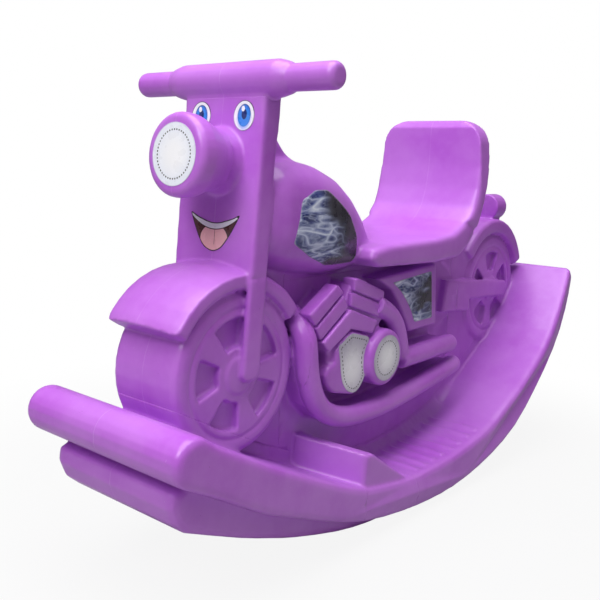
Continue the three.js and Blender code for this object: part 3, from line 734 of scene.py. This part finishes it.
def skin_group():
    """Moulded polyethylene: faint clouding, fine orange peel, tiny pinholes and light rub marks."""
    def build(wiring, given):
        at = given["Vector"]
        clouds = wiring.ramp(wiring.noise(at, 7.0, 3.0, 0.55), 0.3, 0.7)
        blotches = wiring.ramp(wiring.noise(at, 60.0, 2.0, 0.6), 0.35, 0.7)
        paler = wiring.mix(0.16, given["Colour"], (1.0, 0.86, 1.0))
        deeper = wiring.mix(0.14, given["Colour"], (0.05, 0.0, 0.12))
        colour = wiring.paint(deeper, clouds, given["Clouding"], paler)
        colour = wiring.paint(colour, blotches, 0.16, paler)
        cells = wiring.add("ShaderNodeTexVoronoi", feature="F1")
        cells = wiring.feed_all(cells, {"Vector": at, "Scale": 150.0})
        pick = wiring.ramp(wiring.noise(at, 95.0, 1.0), 0.60, 0.66)
        holes = wiring.times(wiring.fall(cells["Distance"], 0.05, 0.10), pick)
        colour = wiring.paint(colour, holes, 0.45, (0.10, 0.02, 0.18))
        long_way = wiring.place(at, turn=(0.4, 0.2, 0.7), scale=(60.0, 14.0, 60.0))
        rubs = wiring.ramp(wiring.noise(long_way, 6.0, 4.0, 0.7, 0.4), 0.66, 0.74)
        rubs = wiring.times(rubs, given["Rubbing"])
        colour = wiring.paint(colour, rubs, 0.22, (0.80, 0.60, 0.90))
        peel = wiring.noise(at, 420.0, 2.0, 0.5)
        waves = wiring.noise(at, 38.0, 1.0, 0.5)
        height = wiring.minus(wiring.plus(wiring.times(peel, 0.35), wiring.times(waves, 1.4)), holes)
        rough = wiring.plus(given["Roughness"], wiring.times(rubs, 0.12))
        rough = wiring.plus(rough, wiring.ramp(clouds, 0.0, 1.0, -0.03, 0.04), clamp=True)
        return {"Colour": colour, "Roughness": rough, "Height": height}
    return node_group("moulded_skin", ("Vector", "Colour", "Clouding", "Rubbing", "Roughness"), build)


def parting_group():
    """The mould's parting line: a fine raised line on the toy's middle plane."""
    def build(wiring, given):
        across = wiring.math("ABSOLUTE", wiring.split(given["Vector"])[0])
        line = wiring.fall(across, given["Half Width"], wiring.times(given["Half Width"], 2.2))
        broken = wiring.ramp(wiring.noise(given["Vector"], 30.0, 2.0), 0.3, 0.6, 0.35, 1.0)
        return {"Line": wiring.times(line, broken)}
    return node_group("parting_line", ("Vector", "Half Width"), build)


def moulded_plastic():
    """The toy's own plastic, made once."""
    name = "moulded purple plastic"
    if name in bpy.data.materials:
        return bpy.data.materials[name]
    finish = bpy.context.scene.toy_finish
    material, wiring, shader = new_material(name)
    at = wiring.coords()
    skin = use_group(wiring, skin_group(), Vector=at, Colour=finish.purple, Clouding=0.5, Rubbing=0.8,
                     Roughness=finish.roughness)
    seam = use_group(wiring, parting_group(), Vector=at, Half_Width=0.00035)
    colour = wiring.paint(skin["Colour"], seam["Line"], 0.10, (0.85, 0.62, 0.95))
    height = wiring.plus(skin["Height"], wiring.times(seam["Line"], 1.2))
    dress(wiring, shader, colour, skin["Roughness"], height, 0.5, 0.0003)
    return material


def oval_group():
    """A soft-edged oval in the plane of X and Z, as a mask."""
    def build(wiring, given):
        x, _, z = wiring.split(wiring.vector("SUBTRACT", given["Vector"], given["Centre"])[0])
        far = wiring.length(wiring.math("DIVIDE", x, given["Half Width"]),
                            wiring.math("DIVIDE", z, given["Half Height"]))
        return {"Mask": wiring.fall(far, 1.0, wiring.plus(1.0, given["Softness"]))}
    return node_group("oval_mask", ("Vector", "Centre", "Half Width", "Half Height", "Softness"), build)


def oval_mask(wiring, at, centre, half_width, half_height, soft):
    """An oval with its centre (x, z) and its half sizes in millimetres."""
    return use_group(wiring, oval_group(), Vector=at, Centre=(centre[0] * MM, 0, centre[1] * MM),
                     Half_Width=half_width * MM, Half_Height=half_height * MM, Softness=soft)["Mask"]


def print_group():
    """Printed film: a faint fibre and a slight unevenness of the ink."""
    def build(wiring, given):
        fibre = wiring.noise(given["Vector"], 1400.0, 2.0)
        patch = wiring.noise(given["Vector"], 55.0, 3.0)
        colour = wiring.mix(wiring.ramp(patch, 0.35, 0.75, 0.0, 0.05), given["Colour"], (0.75, 0.75, 0.78))
        colour = wiring.mix(wiring.ramp(fibre, 0.3, 0.7, 0.0, 0.06), colour, (0.3, 0.3, 0.32))
        return {"Colour": colour, "Roughness": wiring.ramp(patch, 0.2, 0.8, 0.22, 0.36), "Height": fibre}
    return node_group("printed_film", ("Vector", "Colour"), build)


def film(wiring, shader, at, colour):
    """Feeds a label's colours through the printed film to its shader."""
    sheet = use_group(wiring, print_group(), Vector=at, Colour=colour)
    dress(wiring, shader, sheet["Colour"], sheet["Roughness"], sheet["Height"], 0.25, 0.00005)


def silver_print(name, centre, reach, inset, edge_shade, sideways=True):
    """Pale label: bright round its (y, z) centre, with a dotted ring that follows the label's edge."""
    finish = bpy.context.scene.toy_finish
    material, wiring, shader = new_material(name)
    at = wiring.coords()
    x, y, z = wiring.split(wiring.place(at, location=(0, -centre[0] * MM, -centre[1] * MM)))
    glow = wiring.fall(wiring.length(y if sideways else x, z), reach * 0.15, reach)
    colour = wiring.mix(glow, edge_shade, (0.97, 0.97, 0.98))
    colour = wiring.mix(0.18, colour, finish.silver)
    u, v, _ = wiring.split(wiring.coords("UV"))
    ring = wiring.fall(wiring.away(v, inset), 0.00075, 0.00105)
    dots = wiring.math("LESS_THAN", wiring.math("FRACT", u), 0.52)
    colour = wiring.paint(colour, ring, dots, (0.05, 0.05, 0.06))
    colour = wiring.paint(colour, wiring.rim(0.0004, 0.0012), 0.35, (0.35, 0.33, 0.42))
    film(wiring, shader, at, colour)
    return material


def streak_group():
    """Pale wisps with a blue glow on a dark ground, dense where the thickness is high."""
    def build(wiring, given):
        at, scale = given["Vector"], given["Scale"]
        curl = wiring.noise(at, wiring.times(scale, 0.6), 1.0, output="Color")
        sized = wiring.add("ShaderNodeVectorMath", operation="SCALE")
        wiring.feed_all(sized, {0: wiring.vector("SUBTRACT", curl, (0.5, 0.5, 0.5))[0],
                                "Scale": wiring.math("DIVIDE", given["Curl"], scale)})
        spot = wiring.vector("ADD", at, sized.outputs[0])[0]
        lines, glow = 0.0, 0.0
        for share, narrow, weight in ((1.0, 13.0, 1.0), (2.1, 9.0, 0.75), (4.3, 7.0, 0.4)):
            away = wiring.away(wiring.noise(spot, wiring.times(scale, share), 1.5, 0.45), 0.5)
            thin = wiring.math("POWER", wiring.minus(1.0, wiring.times(away, narrow), clamp=True), 1.6)
            wide = wiring.minus(1.0, wiring.times(away, narrow * 0.4), clamp=True)
            lines = wiring.math("MAXIMUM", lines, wiring.times(thin, weight))
            glow = wiring.math("MAXIMUM", glow, wiring.times(wide, weight))
        patches = wiring.ramp(wiring.noise(at, wiring.times(scale, 0.8), 2.0), 0.40, 0.62)
        reach = wiring.ramp(wiring.plus(given["Thickness"], wiring.times(patches, 0.45)), 0.36, 0.90)
        colour = wiring.paint(given["Ground"], glow, reach, (0.035, 0.06, 0.34))
        colour = wiring.paint(colour, lines, wiring.times(reach, 0.55), (0.22, 0.34, 0.80))
        return {"Colour": wiring.paint(colour, wiring.math("POWER", lines, 1.3), reach, (0.86, 0.91, 1.0))}
    return node_group("pale_streaks", ("Vector", "Scale", "Curl", "Thickness", "Ground"), build)


def streaked_print(name, turn, stretch, start_y, end_y, scale):
    """Dark label with pale wisps that thin out from its front edge to its rear edge."""
    finish = bpy.context.scene.toy_finish
    material, wiring, shader = new_material(name)
    at = wiring.coords()
    thick = wiring.fall(wiring.split(at)[1], start_y, end_y)
    flowing = wiring.place(at, turn=(turn, 0, 0), scale=(1.0, 1.0, stretch))
    streaks = use_group(wiring, streak_group(), Vector=flowing, Scale=scale, Thickness=thick,
                        Ground=finish.night, Curl=0.9)
    colour = wiring.paint(streaks["Colour"], wiring.rim(0.0008, 0.0014), 0.6, (0.30, 0.24, 0.36))
    film(wiring, shader, at, colour)
    return material


def eye_print(name, side):
    """Generic printed eye: white, a blue iris with a dark pupil, and a small light."""
    blue = bpy.context.scene.toy_finish.iris
    material, wiring, shader = new_material(f"printed eye {name}")
    at = wiring.coords()
    colour = (0.93, 0.94, 0.97)
    for across, up, half_width, half_height, soft, share, ink in (
            (0, 0, 10.0, 12.4, 0.06, 1.0, [part * 0.35 for part in blue]),
            (0, 0, 9.0, 11.4, 0.05, 1.0, blue),
            (0, -3.0, 7.0, 8.8, 0.90, 0.7, (0.05, 0.30, 0.84)),
            (0, 1.2, 4.0, 5.6, 0.06, 1.0, (0.012, 0.03, 0.16)),
            (-2.2, 7.5, 2.6, 3.1, 0.06, 1.0, (0.97, 0.98, 1.0))):
        centre = (side * EYE_AT[0] + IRIS_SHIFT + across, IRIS_Z + up)
        mask = oval_mask(wiring, at, centre, half_width, half_height, soft)
        colour = wiring.paint(colour, mask, share, ink)
    upper = wiring.ramp(wiring.split(at)[2], 0.556, 0.566, 0.55, 1.0)
    colour = wiring.paint(colour, wiring.rim(0.0006, 0.0010), upper, (0.06, 0.03, 0.10))
    film(wiring, shader, at, colour)
    return material


def mouth_print():
    """Generic printed smile: dark outline, a band of teeth, and a tongue."""
    finish = bpy.context.scene.toy_finish
    material, wiring, shader = new_material("printed smile")
    at = wiring.coords()
    x, _, z = wiring.split(at)
    curve = wiring.minus(z, wiring.times(wiring.times(x, x), 9.6))
    outline, tongue = (oval_mask(wiring, at, TONGUE_AT, TONGUE_HALF[0] + wider, TONGUE_HALF[1] + wider, 0.03)
                       for wider in (TONGUE_EDGE, 0))
    crease = wiring.times(wiring.fall(wiring.away(x, 0.002), 0.0003, 0.0006), wiring.ramp(z, 0.405, 0.408))
    colour = wiring.mix(outline, (0.075, 0.018, 0.022), (0.04, 0.01, 0.015))
    colour = wiring.mix(tongue, colour, finish.tongue)
    colour = wiring.paint(colour, crease, wiring.times(tongue, 0.8), (0.22, 0.05, 0.06))
    for low, high, ink in ((0.4238, 0.4244, (0.04, 0.01, 0.015)), (0.4250, 0.4256, (0.80, 0.82, 0.85))):
        colour = wiring.mix(wiring.ramp(curve, low, high), colour, ink)
    colour = wiring.mix(wiring.rim(0.0009, 0.0013), colour, (0.015, 0.008, 0.012))
    film(wiring, shader, at, colour)
    return material


# Labels.

def rounded(points, count):
    """A smooth closed line through points, evenly stepped."""
    total = len(points)
    line = []
    for i in range(count):
        share = i * total / count
        k, t = int(share), share - int(share)
        a, b, c, d = (Vector(points[(k + j) % total]) for j in (-1, 0, 1, 2))
        line.append(0.5 * (2 * b + (c - a) * t + (2 * a - 5 * b + 4 * c - d) * t * t
                           + (3 * b - a - 3 * c + d) * t ** 3))
    return line


def straight(points, step):
    """A closed line with even steps along straight sides and slightly rounded corners."""
    total = len(points)
    line = []
    for i in range(total):
        a, b = Vector(points[i]), Vector(points[(i + 1) % total])
        count = max(1, round((b - a).length / step))
        line += [a.lerp(b, k / count) for k in range(count)]
    for _ in range(2):
        line = [(line[i - 1] + 2 * line[i] + line[(i + 1) % len(line)]) / 4 for i in range(len(line))]
    return line


def edge_place(point, outline, lengths):
    """Distance from the outline, and how far along it that is, both in millimetres."""
    best, at = 1e9, 0.0
    for i, a in enumerate(outline):
        side = outline[(i + 1) % len(outline)] - a
        share = min(1.0, max(0.0, (point - a).dot(side) / max(side.length_squared, 1e-9)))
        far = (point - a - side * share).length
        if far < best:
            best, at = far, lengths[i] + side.length * share
    return best, at


def label_shape(outline, dots, step=2.0):
    """A flat label from its outline in millimetres, cut into small faces. Its UV map holds the dot count
    along the edge and the distance from the edge in metres."""
    outline = [Vector(point) for point in outline]
    lengths = [0.0]
    for i, point in enumerate(outline):
        lengths.append(lengths[-1] + (outline[(i + 1) % len(outline)] - point).length)
    shape = bmesh.new()
    shape.faces.new([shape.verts.new((point.x * MM, 0, point.y * MM)) for point in outline])
    for axis, normal in ((0, (1, 0, 0)), (1, (0, 0, 1))):
        low, high = min(point[axis] for point in outline), max(point[axis] for point in outline)
        for k in range(1, math.ceil((high - low) / step)):
            spot = (low + step * (k - 0.37)) * MM
            bmesh.ops.bisect_plane(shape, geom=shape.verts[:] + shape.edges[:] + shape.faces[:], dist=1e-7,
                                   plane_co=(spot, 0, 0) if axis == 0 else (0, 0, spot), plane_no=normal)
    uv = shape.loops.layers.uv.new("edge")
    places = {vert: edge_place(Vector((vert.co.x / MM, vert.co.z / MM)), outline, lengths)
              for vert in shape.verts}
    for face in shape.faces:
        turns = [places[loop.vert][1] / lengths[-1] * dots for loop in face.loops]
        wraps = max(turns) - min(turns) > dots / 2
        for loop, turn in zip(face.loops, turns):
            loop[uv].uv = (turn + dots if wraps and turn < dots / 2 else turn, places[loop.vert][0] * MM)
    return shape


def finish_label(shape, name, matrix, nodes, material):
    """Gives a flat label its thickness and place. It is built facing -Y."""
    face_out(shape)
    if sum(face.normal.y * face.calc_area() for face in shape.faces) > 0:
        bmesh.ops.reverse_faces(shape, faces=shape.faces)
    thicken(shape, (0, LABEL_DEPTH * MM, 0))
    move(shape, matrix)
    face_out(shape)
    piece = to_object(name, shape)
    piece.data.materials.append(material)
    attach(piece, "root")
    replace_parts(piece, *nodes)


def front_matrix(z):
    """Places a label built facing -Y on the column."""
    return on_face((column_y(z) - LABEL_LIFT, z))


def side_matrix(side, x):
    """Turns a label built facing -Y, with its first axis along Y, to lie on a side plane."""
    turn = Matrix(((0, -side, 0), (1, 0, 0), (0, 0, 1))).to_4x4()
    return Matrix.Translation((side * (x + LABEL_LIFT) * MM, 0, 0)) @ turn


def oval_line(half_width, half_height, count, centre=(0, 0)):
    """The corners of an oval, one after another."""
    turns = (2 * math.pi * i / count for i in range(count))
    return [(centre[0] + half_width * math.cos(a), centre[1] + half_height * math.sin(a)) for a in turns]


def finish_tank_label(name, side):
    """Lays the tank label on the swollen side of the tank."""
    outline = straight([(y, z) for z, y, _ in TANK_ROWS] + [(y, z) for z, _, y in reversed(TANK_ROWS)], 3)
    shape = label_shape(outline, 100, 3.0)
    for vert in shape.verts:
        start = Vector((side * 0.2, vert.co.x, vert.co.z))
        spot, normal, _, _ = whole["surface"].ray_cast(start, Vector((-side, 0, 0)))
        if spot is None:
            raise RuntimeError(f"the tank label misses the tank at {vert.co}")
        vert.co = spot + normal * TANK_LABEL_LIFT * MM
    face_out(shape)
    if sum(face.normal.x * side for face in shape.faces) < 0:
        bmesh.ops.reverse_faces(shape, faces=shape.faces)
    bmesh.ops.solidify(shape, geom=list(shape.faces), thickness=TANK_LABEL_DEPTH * MM)
    face_out(shape)
    for face in shape.faces:
        face.smooth = True
    piece = to_object(f"tank_print_{name}", shape)
    piece.data.materials.append(streaked_print(f"printed tank {name}", 0.45, 3.2, -0.268, -0.156, 12.5))
    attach(piece, "root")
    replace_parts(piece, f"tank_label_{name}")


# Stage.

def set_floor(settings):
    """A pale floor that looks white to the camera further out."""
    shape = bmesh.new()
    bmesh.ops.create_grid(shape, x_segments=1, y_segments=1, size=FLOOR_SIZE)
    floor = to_object("floor", shape)
    material, wiring, shader = new_material("pale floor")
    grain = wiring.ramp(wiring.noise(wiring.coords(), 3.0, 3.0), 0.3, 0.7, 0.0, 0.05)
    pale = wiring.mix(grain, settings.floor, (0.8, 0.8, 0.82))
    wiring.feed_all(shader, {"Base Color": pale, "Roughness": 0.9, "Specular IOR Level": 0.1})
    glow = wiring.feed_all(wiring.add("ShaderNodeEmission"), {"Color": (1, 1, 1)})
    path = wiring.add("ShaderNodeLightPath").outputs
    near = wiring.ramp(wiring.vector("LENGTH", wiring.coords())["Value"], 0.40, 0.95, 0.90, 1.0)
    seen = wiring.math("MAXIMUM", path["Is Camera Ray"], path["Is Transmission Ray"])
    wiring.blend(wiring.times(seen, near), shader.outputs[0], glow[0], "Material Output")
    floor.data.materials.append(material)


def set_world(settings):
    """An even room, paler overhead, that the camera sees as white."""
    world = bpy.data.worlds.new("studio")
    bpy.context.scene.world = world
    world.use_nodes = True
    wiring = Wiring(world.node_tree)
    height = wiring.split(wiring.coords("Generated"))[2]
    colour = wiring.mix(wiring.ramp(height, 0.0, 0.9), (1.0, 0.84, 0.80), (0.96, 0.97, 1.0))
    strength = wiring.times(wiring.ramp(height, -0.1, 0.9, 0.30, 1.35), settings.world)
    room = wiring.feed_all(world.node_tree.nodes["Background"], {"Color": colour, "Strength": strength})
    white = wiring.feed_all(wiring.add("ShaderNodeBackground"), {"Color": (1, 1, 1), "Strength": 1.0})
    path = wiring.add("ShaderNodeLightPath").outputs
    wiring.blend(path["Is Camera Ray"], room[0], white[0], "World Output")


def set_lights(settings):
    """Square lamps, each aimed at a spot on the toy."""
    for name, place, aim, size, share in LIGHTS:
        lamp = bpy.data.lights.new(name, "AREA")
        lamp.shape = "SQUARE"
        lamp.size = size
        lamp.energy = settings.key_power * share
        holder = link(name, lamp)
        holder.location = place
        holder.rotation_euler = (Vector(aim) - Vector(place)).to_track_quat("-Z", "Y").to_euler()


def set_camera():
    """The camera of the photograph."""
    yaw, pitch, roll = (math.radians(a) for a in CAMERA_ANGLES)
    ahead = Vector((-math.sin(yaw) * math.cos(pitch), math.cos(yaw) * math.cos(pitch), math.sin(pitch)))
    right = Vector((math.cos(yaw), math.sin(yaw), 0))
    up = right.cross(ahead)
    right, up = math.cos(roll) * right + math.sin(roll) * up, math.cos(roll) * up - math.sin(roll) * right
    view = bpy.data.cameras.new("camera")
    view.sensor_width = 36.0
    view.lens = CAMERA_LENS
    camera = link("camera", view)
    turn = Matrix((right, up, -ahead)).transposed().to_4x4()
    camera.matrix_world = Matrix.Translation(CAMERA_PLACE) @ turn
    bpy.context.scene.camera = camera


# Operators.

class TOY_OT_moulding(bpy.types.Operator):
    """Melts all the plastic solids into one soft moulding"""
    bl_idname = "toy.moulding"
    bl_label = "Melt the moulding"

    def execute(self, context):
        settings = context.scene.toy_moulding
        shape = bmesh.new()
        for name in MOULDED:
            if not any(word in name for word in ("exhaust", "_fin_", "chevron")):
                add_to(shape, solid_copy(name, settings.swell))
        for extra in (engine_shapes(), body_flare(settings), lamp_flare(), rib_bars()):
            add_to(shape, extra)
        moulding = to_object("moulding", shape)
        melt(moulding, settings.voxel, settings.smoothing)
        soften_zones(moulding)
        settle(moulding)
        moulding.vertex_groups.clear()
        skin = bmesh.new()
        skin.from_mesh(moulding.data)
        whole.update(moulding=moulding, surface=BVHTree.FromBMesh(skin))
        skin.free()
        return {"FINISHED"}


class TOY_OT_rocker(bpy.types.Operator):
    """Cuts the keel and the rocker board with its foot stops from the moulding"""
    bl_idname = "toy.rocker"
    bl_label = "Rocker board and keel"

    def execute(self, context):
        first, last = KEEL_ENDS
        under = [(y, z - KEEL_DROP) for y, z in deck_heights(KEEL_X, False) if first < y < last]
        cut_piece("keel_moulding", prism(filled(under, -20)), ["rocker_keel"])
        over = [(y, z + BOARD_RISE) for y, z in deck_heights(BOARD_X, True)]
        for name, side in reversed(SIDES):
            stop = prism(STOP_REGION, *STOP_X)
            shear = Matrix.Identity(4)
            shear[1][0], shear[2][0] = STOP_FORWARD_SLOPE, -STOP_RISE_SLOPE
            place = Matrix.Translation((STOP_OUTER_X * MM, 0, 0))
            move(stop, Matrix.Diagonal((side, 1, 1, 1)) @ place @ shear @ place.inverted())
            face_out(stop)
            cut_piece(f"foot_stop_moulding_{name}", stop, [f"foot_stop_{name}"])
        cut_piece("board_moulding", prism(filled(over, 0)), ["rocker_deck"])
        return {"FINISHED"}


class TOY_OT_front(bpy.types.Operator):
    """Cuts the headlamp, the handlebar and the fork with its wheel and fender from the moulding"""
    bl_idname = "toy.front"
    bl_label = "Headlamp, handlebar and fork"

    def execute(self, context):
        lamp = spun(LAMP_REGION)
        move(lamp, on_face(LAMP_CENTRE))
        cut_piece("headlamp_moulding", lamp, ["headlamp_barrel"])
        bar = spun(BAR_REGION)
        move(bar, Matrix.Translation((0, BAR[0] * MM, BAR[1] * MM)) @ Matrix.Rotation(math.pi / 2, 4, "Z"))
        cut_piece("handlebar_moulding", bar, ["handlebar_sleeve", "grip_left", "grip_right"])
        cut_piece("fork_moulding", prism(FORK_REGION),
                  ["front_wheel", "front_fender", "fork_column", "fork_blade_left", "fork_blade_right"])
        return {"FINISHED"}


class TOY_OT_seat(bpy.types.Operator):
    """Cuts the seat with its backrest from the moulding"""
    bl_idname = "toy.seat"
    bl_label = "Seat"

    def execute(self, context):
        cut_piece("seat_moulding", prism(SEAT_REGION), ["seat_pan", "seat_back"])
        return {"FINISHED"}


class TOY_OT_tank(bpy.types.Operator):
    """Cuts the fuel tank with its neck from the moulding"""
    bl_idname = "toy.tank"
    bl_label = "Fuel tank"

    def execute(self, context):
        cut_piece("tank_moulding", prism(TANK_REGION), ["fuel_tank", "tank_neck"])
        return {"FINISHED"}


class TOY_OT_body(bpy.types.Operator):
    """Cuts the rear end from the moulding and leaves the engine body"""
    bl_idname = "toy.body"
    bl_label = "Rear end and engine body"

    def execute(self, context):
        cut_piece("rear_end_moulding", prism(REAR_REGION),
                  ["rear_wheel", "rear_fender", "tail_lamp", "swing_arm_left", "swing_arm_right"])
        done = {name for thing in context.scene.objects for name in thing.get("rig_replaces", [])}
        cut_piece("engine_body_moulding", None, [name for name in MOULDED if name not in done])
        bpy.data.objects.remove(whole.pop("moulding"))
        return {"FINISHED"}


class TOY_OT_fins(bpy.types.Operator):
    """Models the cylinder fins and the chevron as rounded bars on the engine block"""
    bl_idname = "toy.fins"
    bl_label = "Cylinder fins"

    def execute(self, context):
        settings = context.scene.toy_moulding
        for label, side in SIDES:
            shape = bmesh.new()
            for outer, outline in FIN_BARS.values():
                add_to(shape, side_prism(outline, FIN_INNER_X, outer + FIN_SWELL, side))
            bars = to_object(f"fin_moulding_{label}", shape)
            melt(bars, settings.fin_voxel, settings.fin_smoothing)
            finish_moulded(bars, [f"{name}_{label}" for name in FIN_BARS])
        return {"FINISHED"}


class TOY_OT_face(bpy.types.Operator):
    """Prints the eyes and the smile on the column"""
    bl_idname = "toy.face"
    bl_label = "Eyes and smile"

    def execute(self, context):
        for name, side in SIDES:
            matrix = front_matrix(EYE_AT[1]) @ Matrix.Translation((side * EYE_AT[0] * MM, 0, 0))
            finish_label(label_shape(oval_line(*EYE_HALF, 72), 40), f"eye_print_{name}", matrix,
                         [f"eye_label_{name}"], eye_print(name, side))
        finish_label(label_shape(rounded(MOUTH, 144), 40), "smile_print", front_matrix(MOUTH_Z),
                     ["mouth_label"], mouth_print())
        return {"FINISHED"}


class TOY_OT_silver_labels(bpy.types.Operator):
    """Prints the pale labels with dotted rings on the headlamp and the engine"""
    bl_idname = "toy.silver_labels"
    bl_label = "Silver labels"

    def execute(self, context):
        lens = silver_print("printed lens", LAMP_CENTRE, 0.040, 0.0081, (0.80, 0.84, 0.95), sideways=False)
        place = on_face((LAMP_CENTRE[0] - LABEL_LIFT, LAMP_CENTRE[1]))
        finish_label(label_shape(oval_line(LENS_RADIUS, LENS_RADIUS, 120), 44), "lens_print", place,
                     ["headlamp_label"], lens)
        cover = oval_line(COVER_RADIUS, COVER_RADIUS, 110, COVER_CENTRE)
        for name, side in SIDES:
            for part, outline, dots, centre, x, reach, inset in (
                    ("cover", cover, 34, COVER_CENTRE, COVER_X, 0.036, 0.0082),
                    ("shield", rounded(SHIELD, 128), 44, SHIELD_CENTRE, SHIELD_X, 0.042, 0.0055)):
                ink = silver_print(f"printed {part} {name}", centre, reach, inset, SILVER_SHADE)
                finish_label(label_shape(outline, dots), f"{part}_print_{name}", side_matrix(side, x),
                             [f"{part}_label_{name}"], ink)
        return {"FINISHED"}


class TOY_OT_streak_labels(bpy.types.Operator):
    """Prints the dark streaked labels on the tank and the side panels"""
    bl_idname = "toy.streak_labels"
    bl_label = "Streaked labels"

    def execute(self, context):
        for name, side in SIDES:
            finish_tank_label(name, side)
            panel = streaked_print(f"printed panel {name}", 0.6, 2.6, -0.035, 0.13, 14.0)
            finish_label(label_shape(straight(PANEL, 2.5), 60), f"panel_print_{name}",
                         side_matrix(side, PANEL_X), [f"panel_label_{name}"], panel)
        return {"FINISHED"}


class TOY_OT_stage(bpy.types.Operator):
    """Sets the floor, the lights and the camera"""
    bl_idname = "toy.stage"
    bl_label = "Stage"

    def execute(self, context):
        settings = context.scene.toy_stage
        context.scene.view_settings.view_transform = "Standard"
        set_floor(settings)
        set_world(settings)
        set_lights(settings)
        set_camera()
        return {"FINISHED"}


OPERATORS = (TOY_OT_moulding, TOY_OT_rocker, TOY_OT_front, TOY_OT_seat, TOY_OT_tank, TOY_OT_fins, TOY_OT_body,
             TOY_OT_face, TOY_OT_silver_labels, TOY_OT_streak_labels, TOY_OT_stage)


class TOY_PT_panel(bpy.types.Panel):
    """Lists the toy's pieces in the order they are made"""
    bl_idname = "TOY_PT_panel"
    bl_label = "Rocking toy"
    bl_space_type = "VIEW_3D"
    bl_region_type = "UI"
    bl_category = "Rocking toy"

    def draw(self, context):
        layout = self.layout
        for settings in (context.scene.toy_moulding, context.scene.toy_finish, context.scene.toy_stage):
            for key in settings.__annotations__:
                layout.prop(settings, key)
        for operator in OPERATORS:
            layout.operator(operator.bl_idname)


CLASSES = (MouldingSettings, FinishSettings, StageSettings, *OPERATORS, TOY_PT_panel)


def register():
    for each in CLASSES:
        bpy.utils.register_class(each)
    bpy.types.Scene.toy_moulding = PointerProperty(type=MouldingSettings)
    bpy.types.Scene.toy_finish = PointerProperty(type=FinishSettings)
    bpy.types.Scene.toy_stage = PointerProperty(type=StageSettings)


def unregister():
    del bpy.types.Scene.toy_moulding, bpy.types.Scene.toy_finish, bpy.types.Scene.toy_stage
    for each in reversed(CLASSES):
        bpy.utils.unregister_class(each)


def main():
    register()
    for operator in OPERATORS:
        group, action = operator.bl_idname.split(".")
        getattr(getattr(bpy.ops, group), action)()


if __name__ == "__main__":
    main()
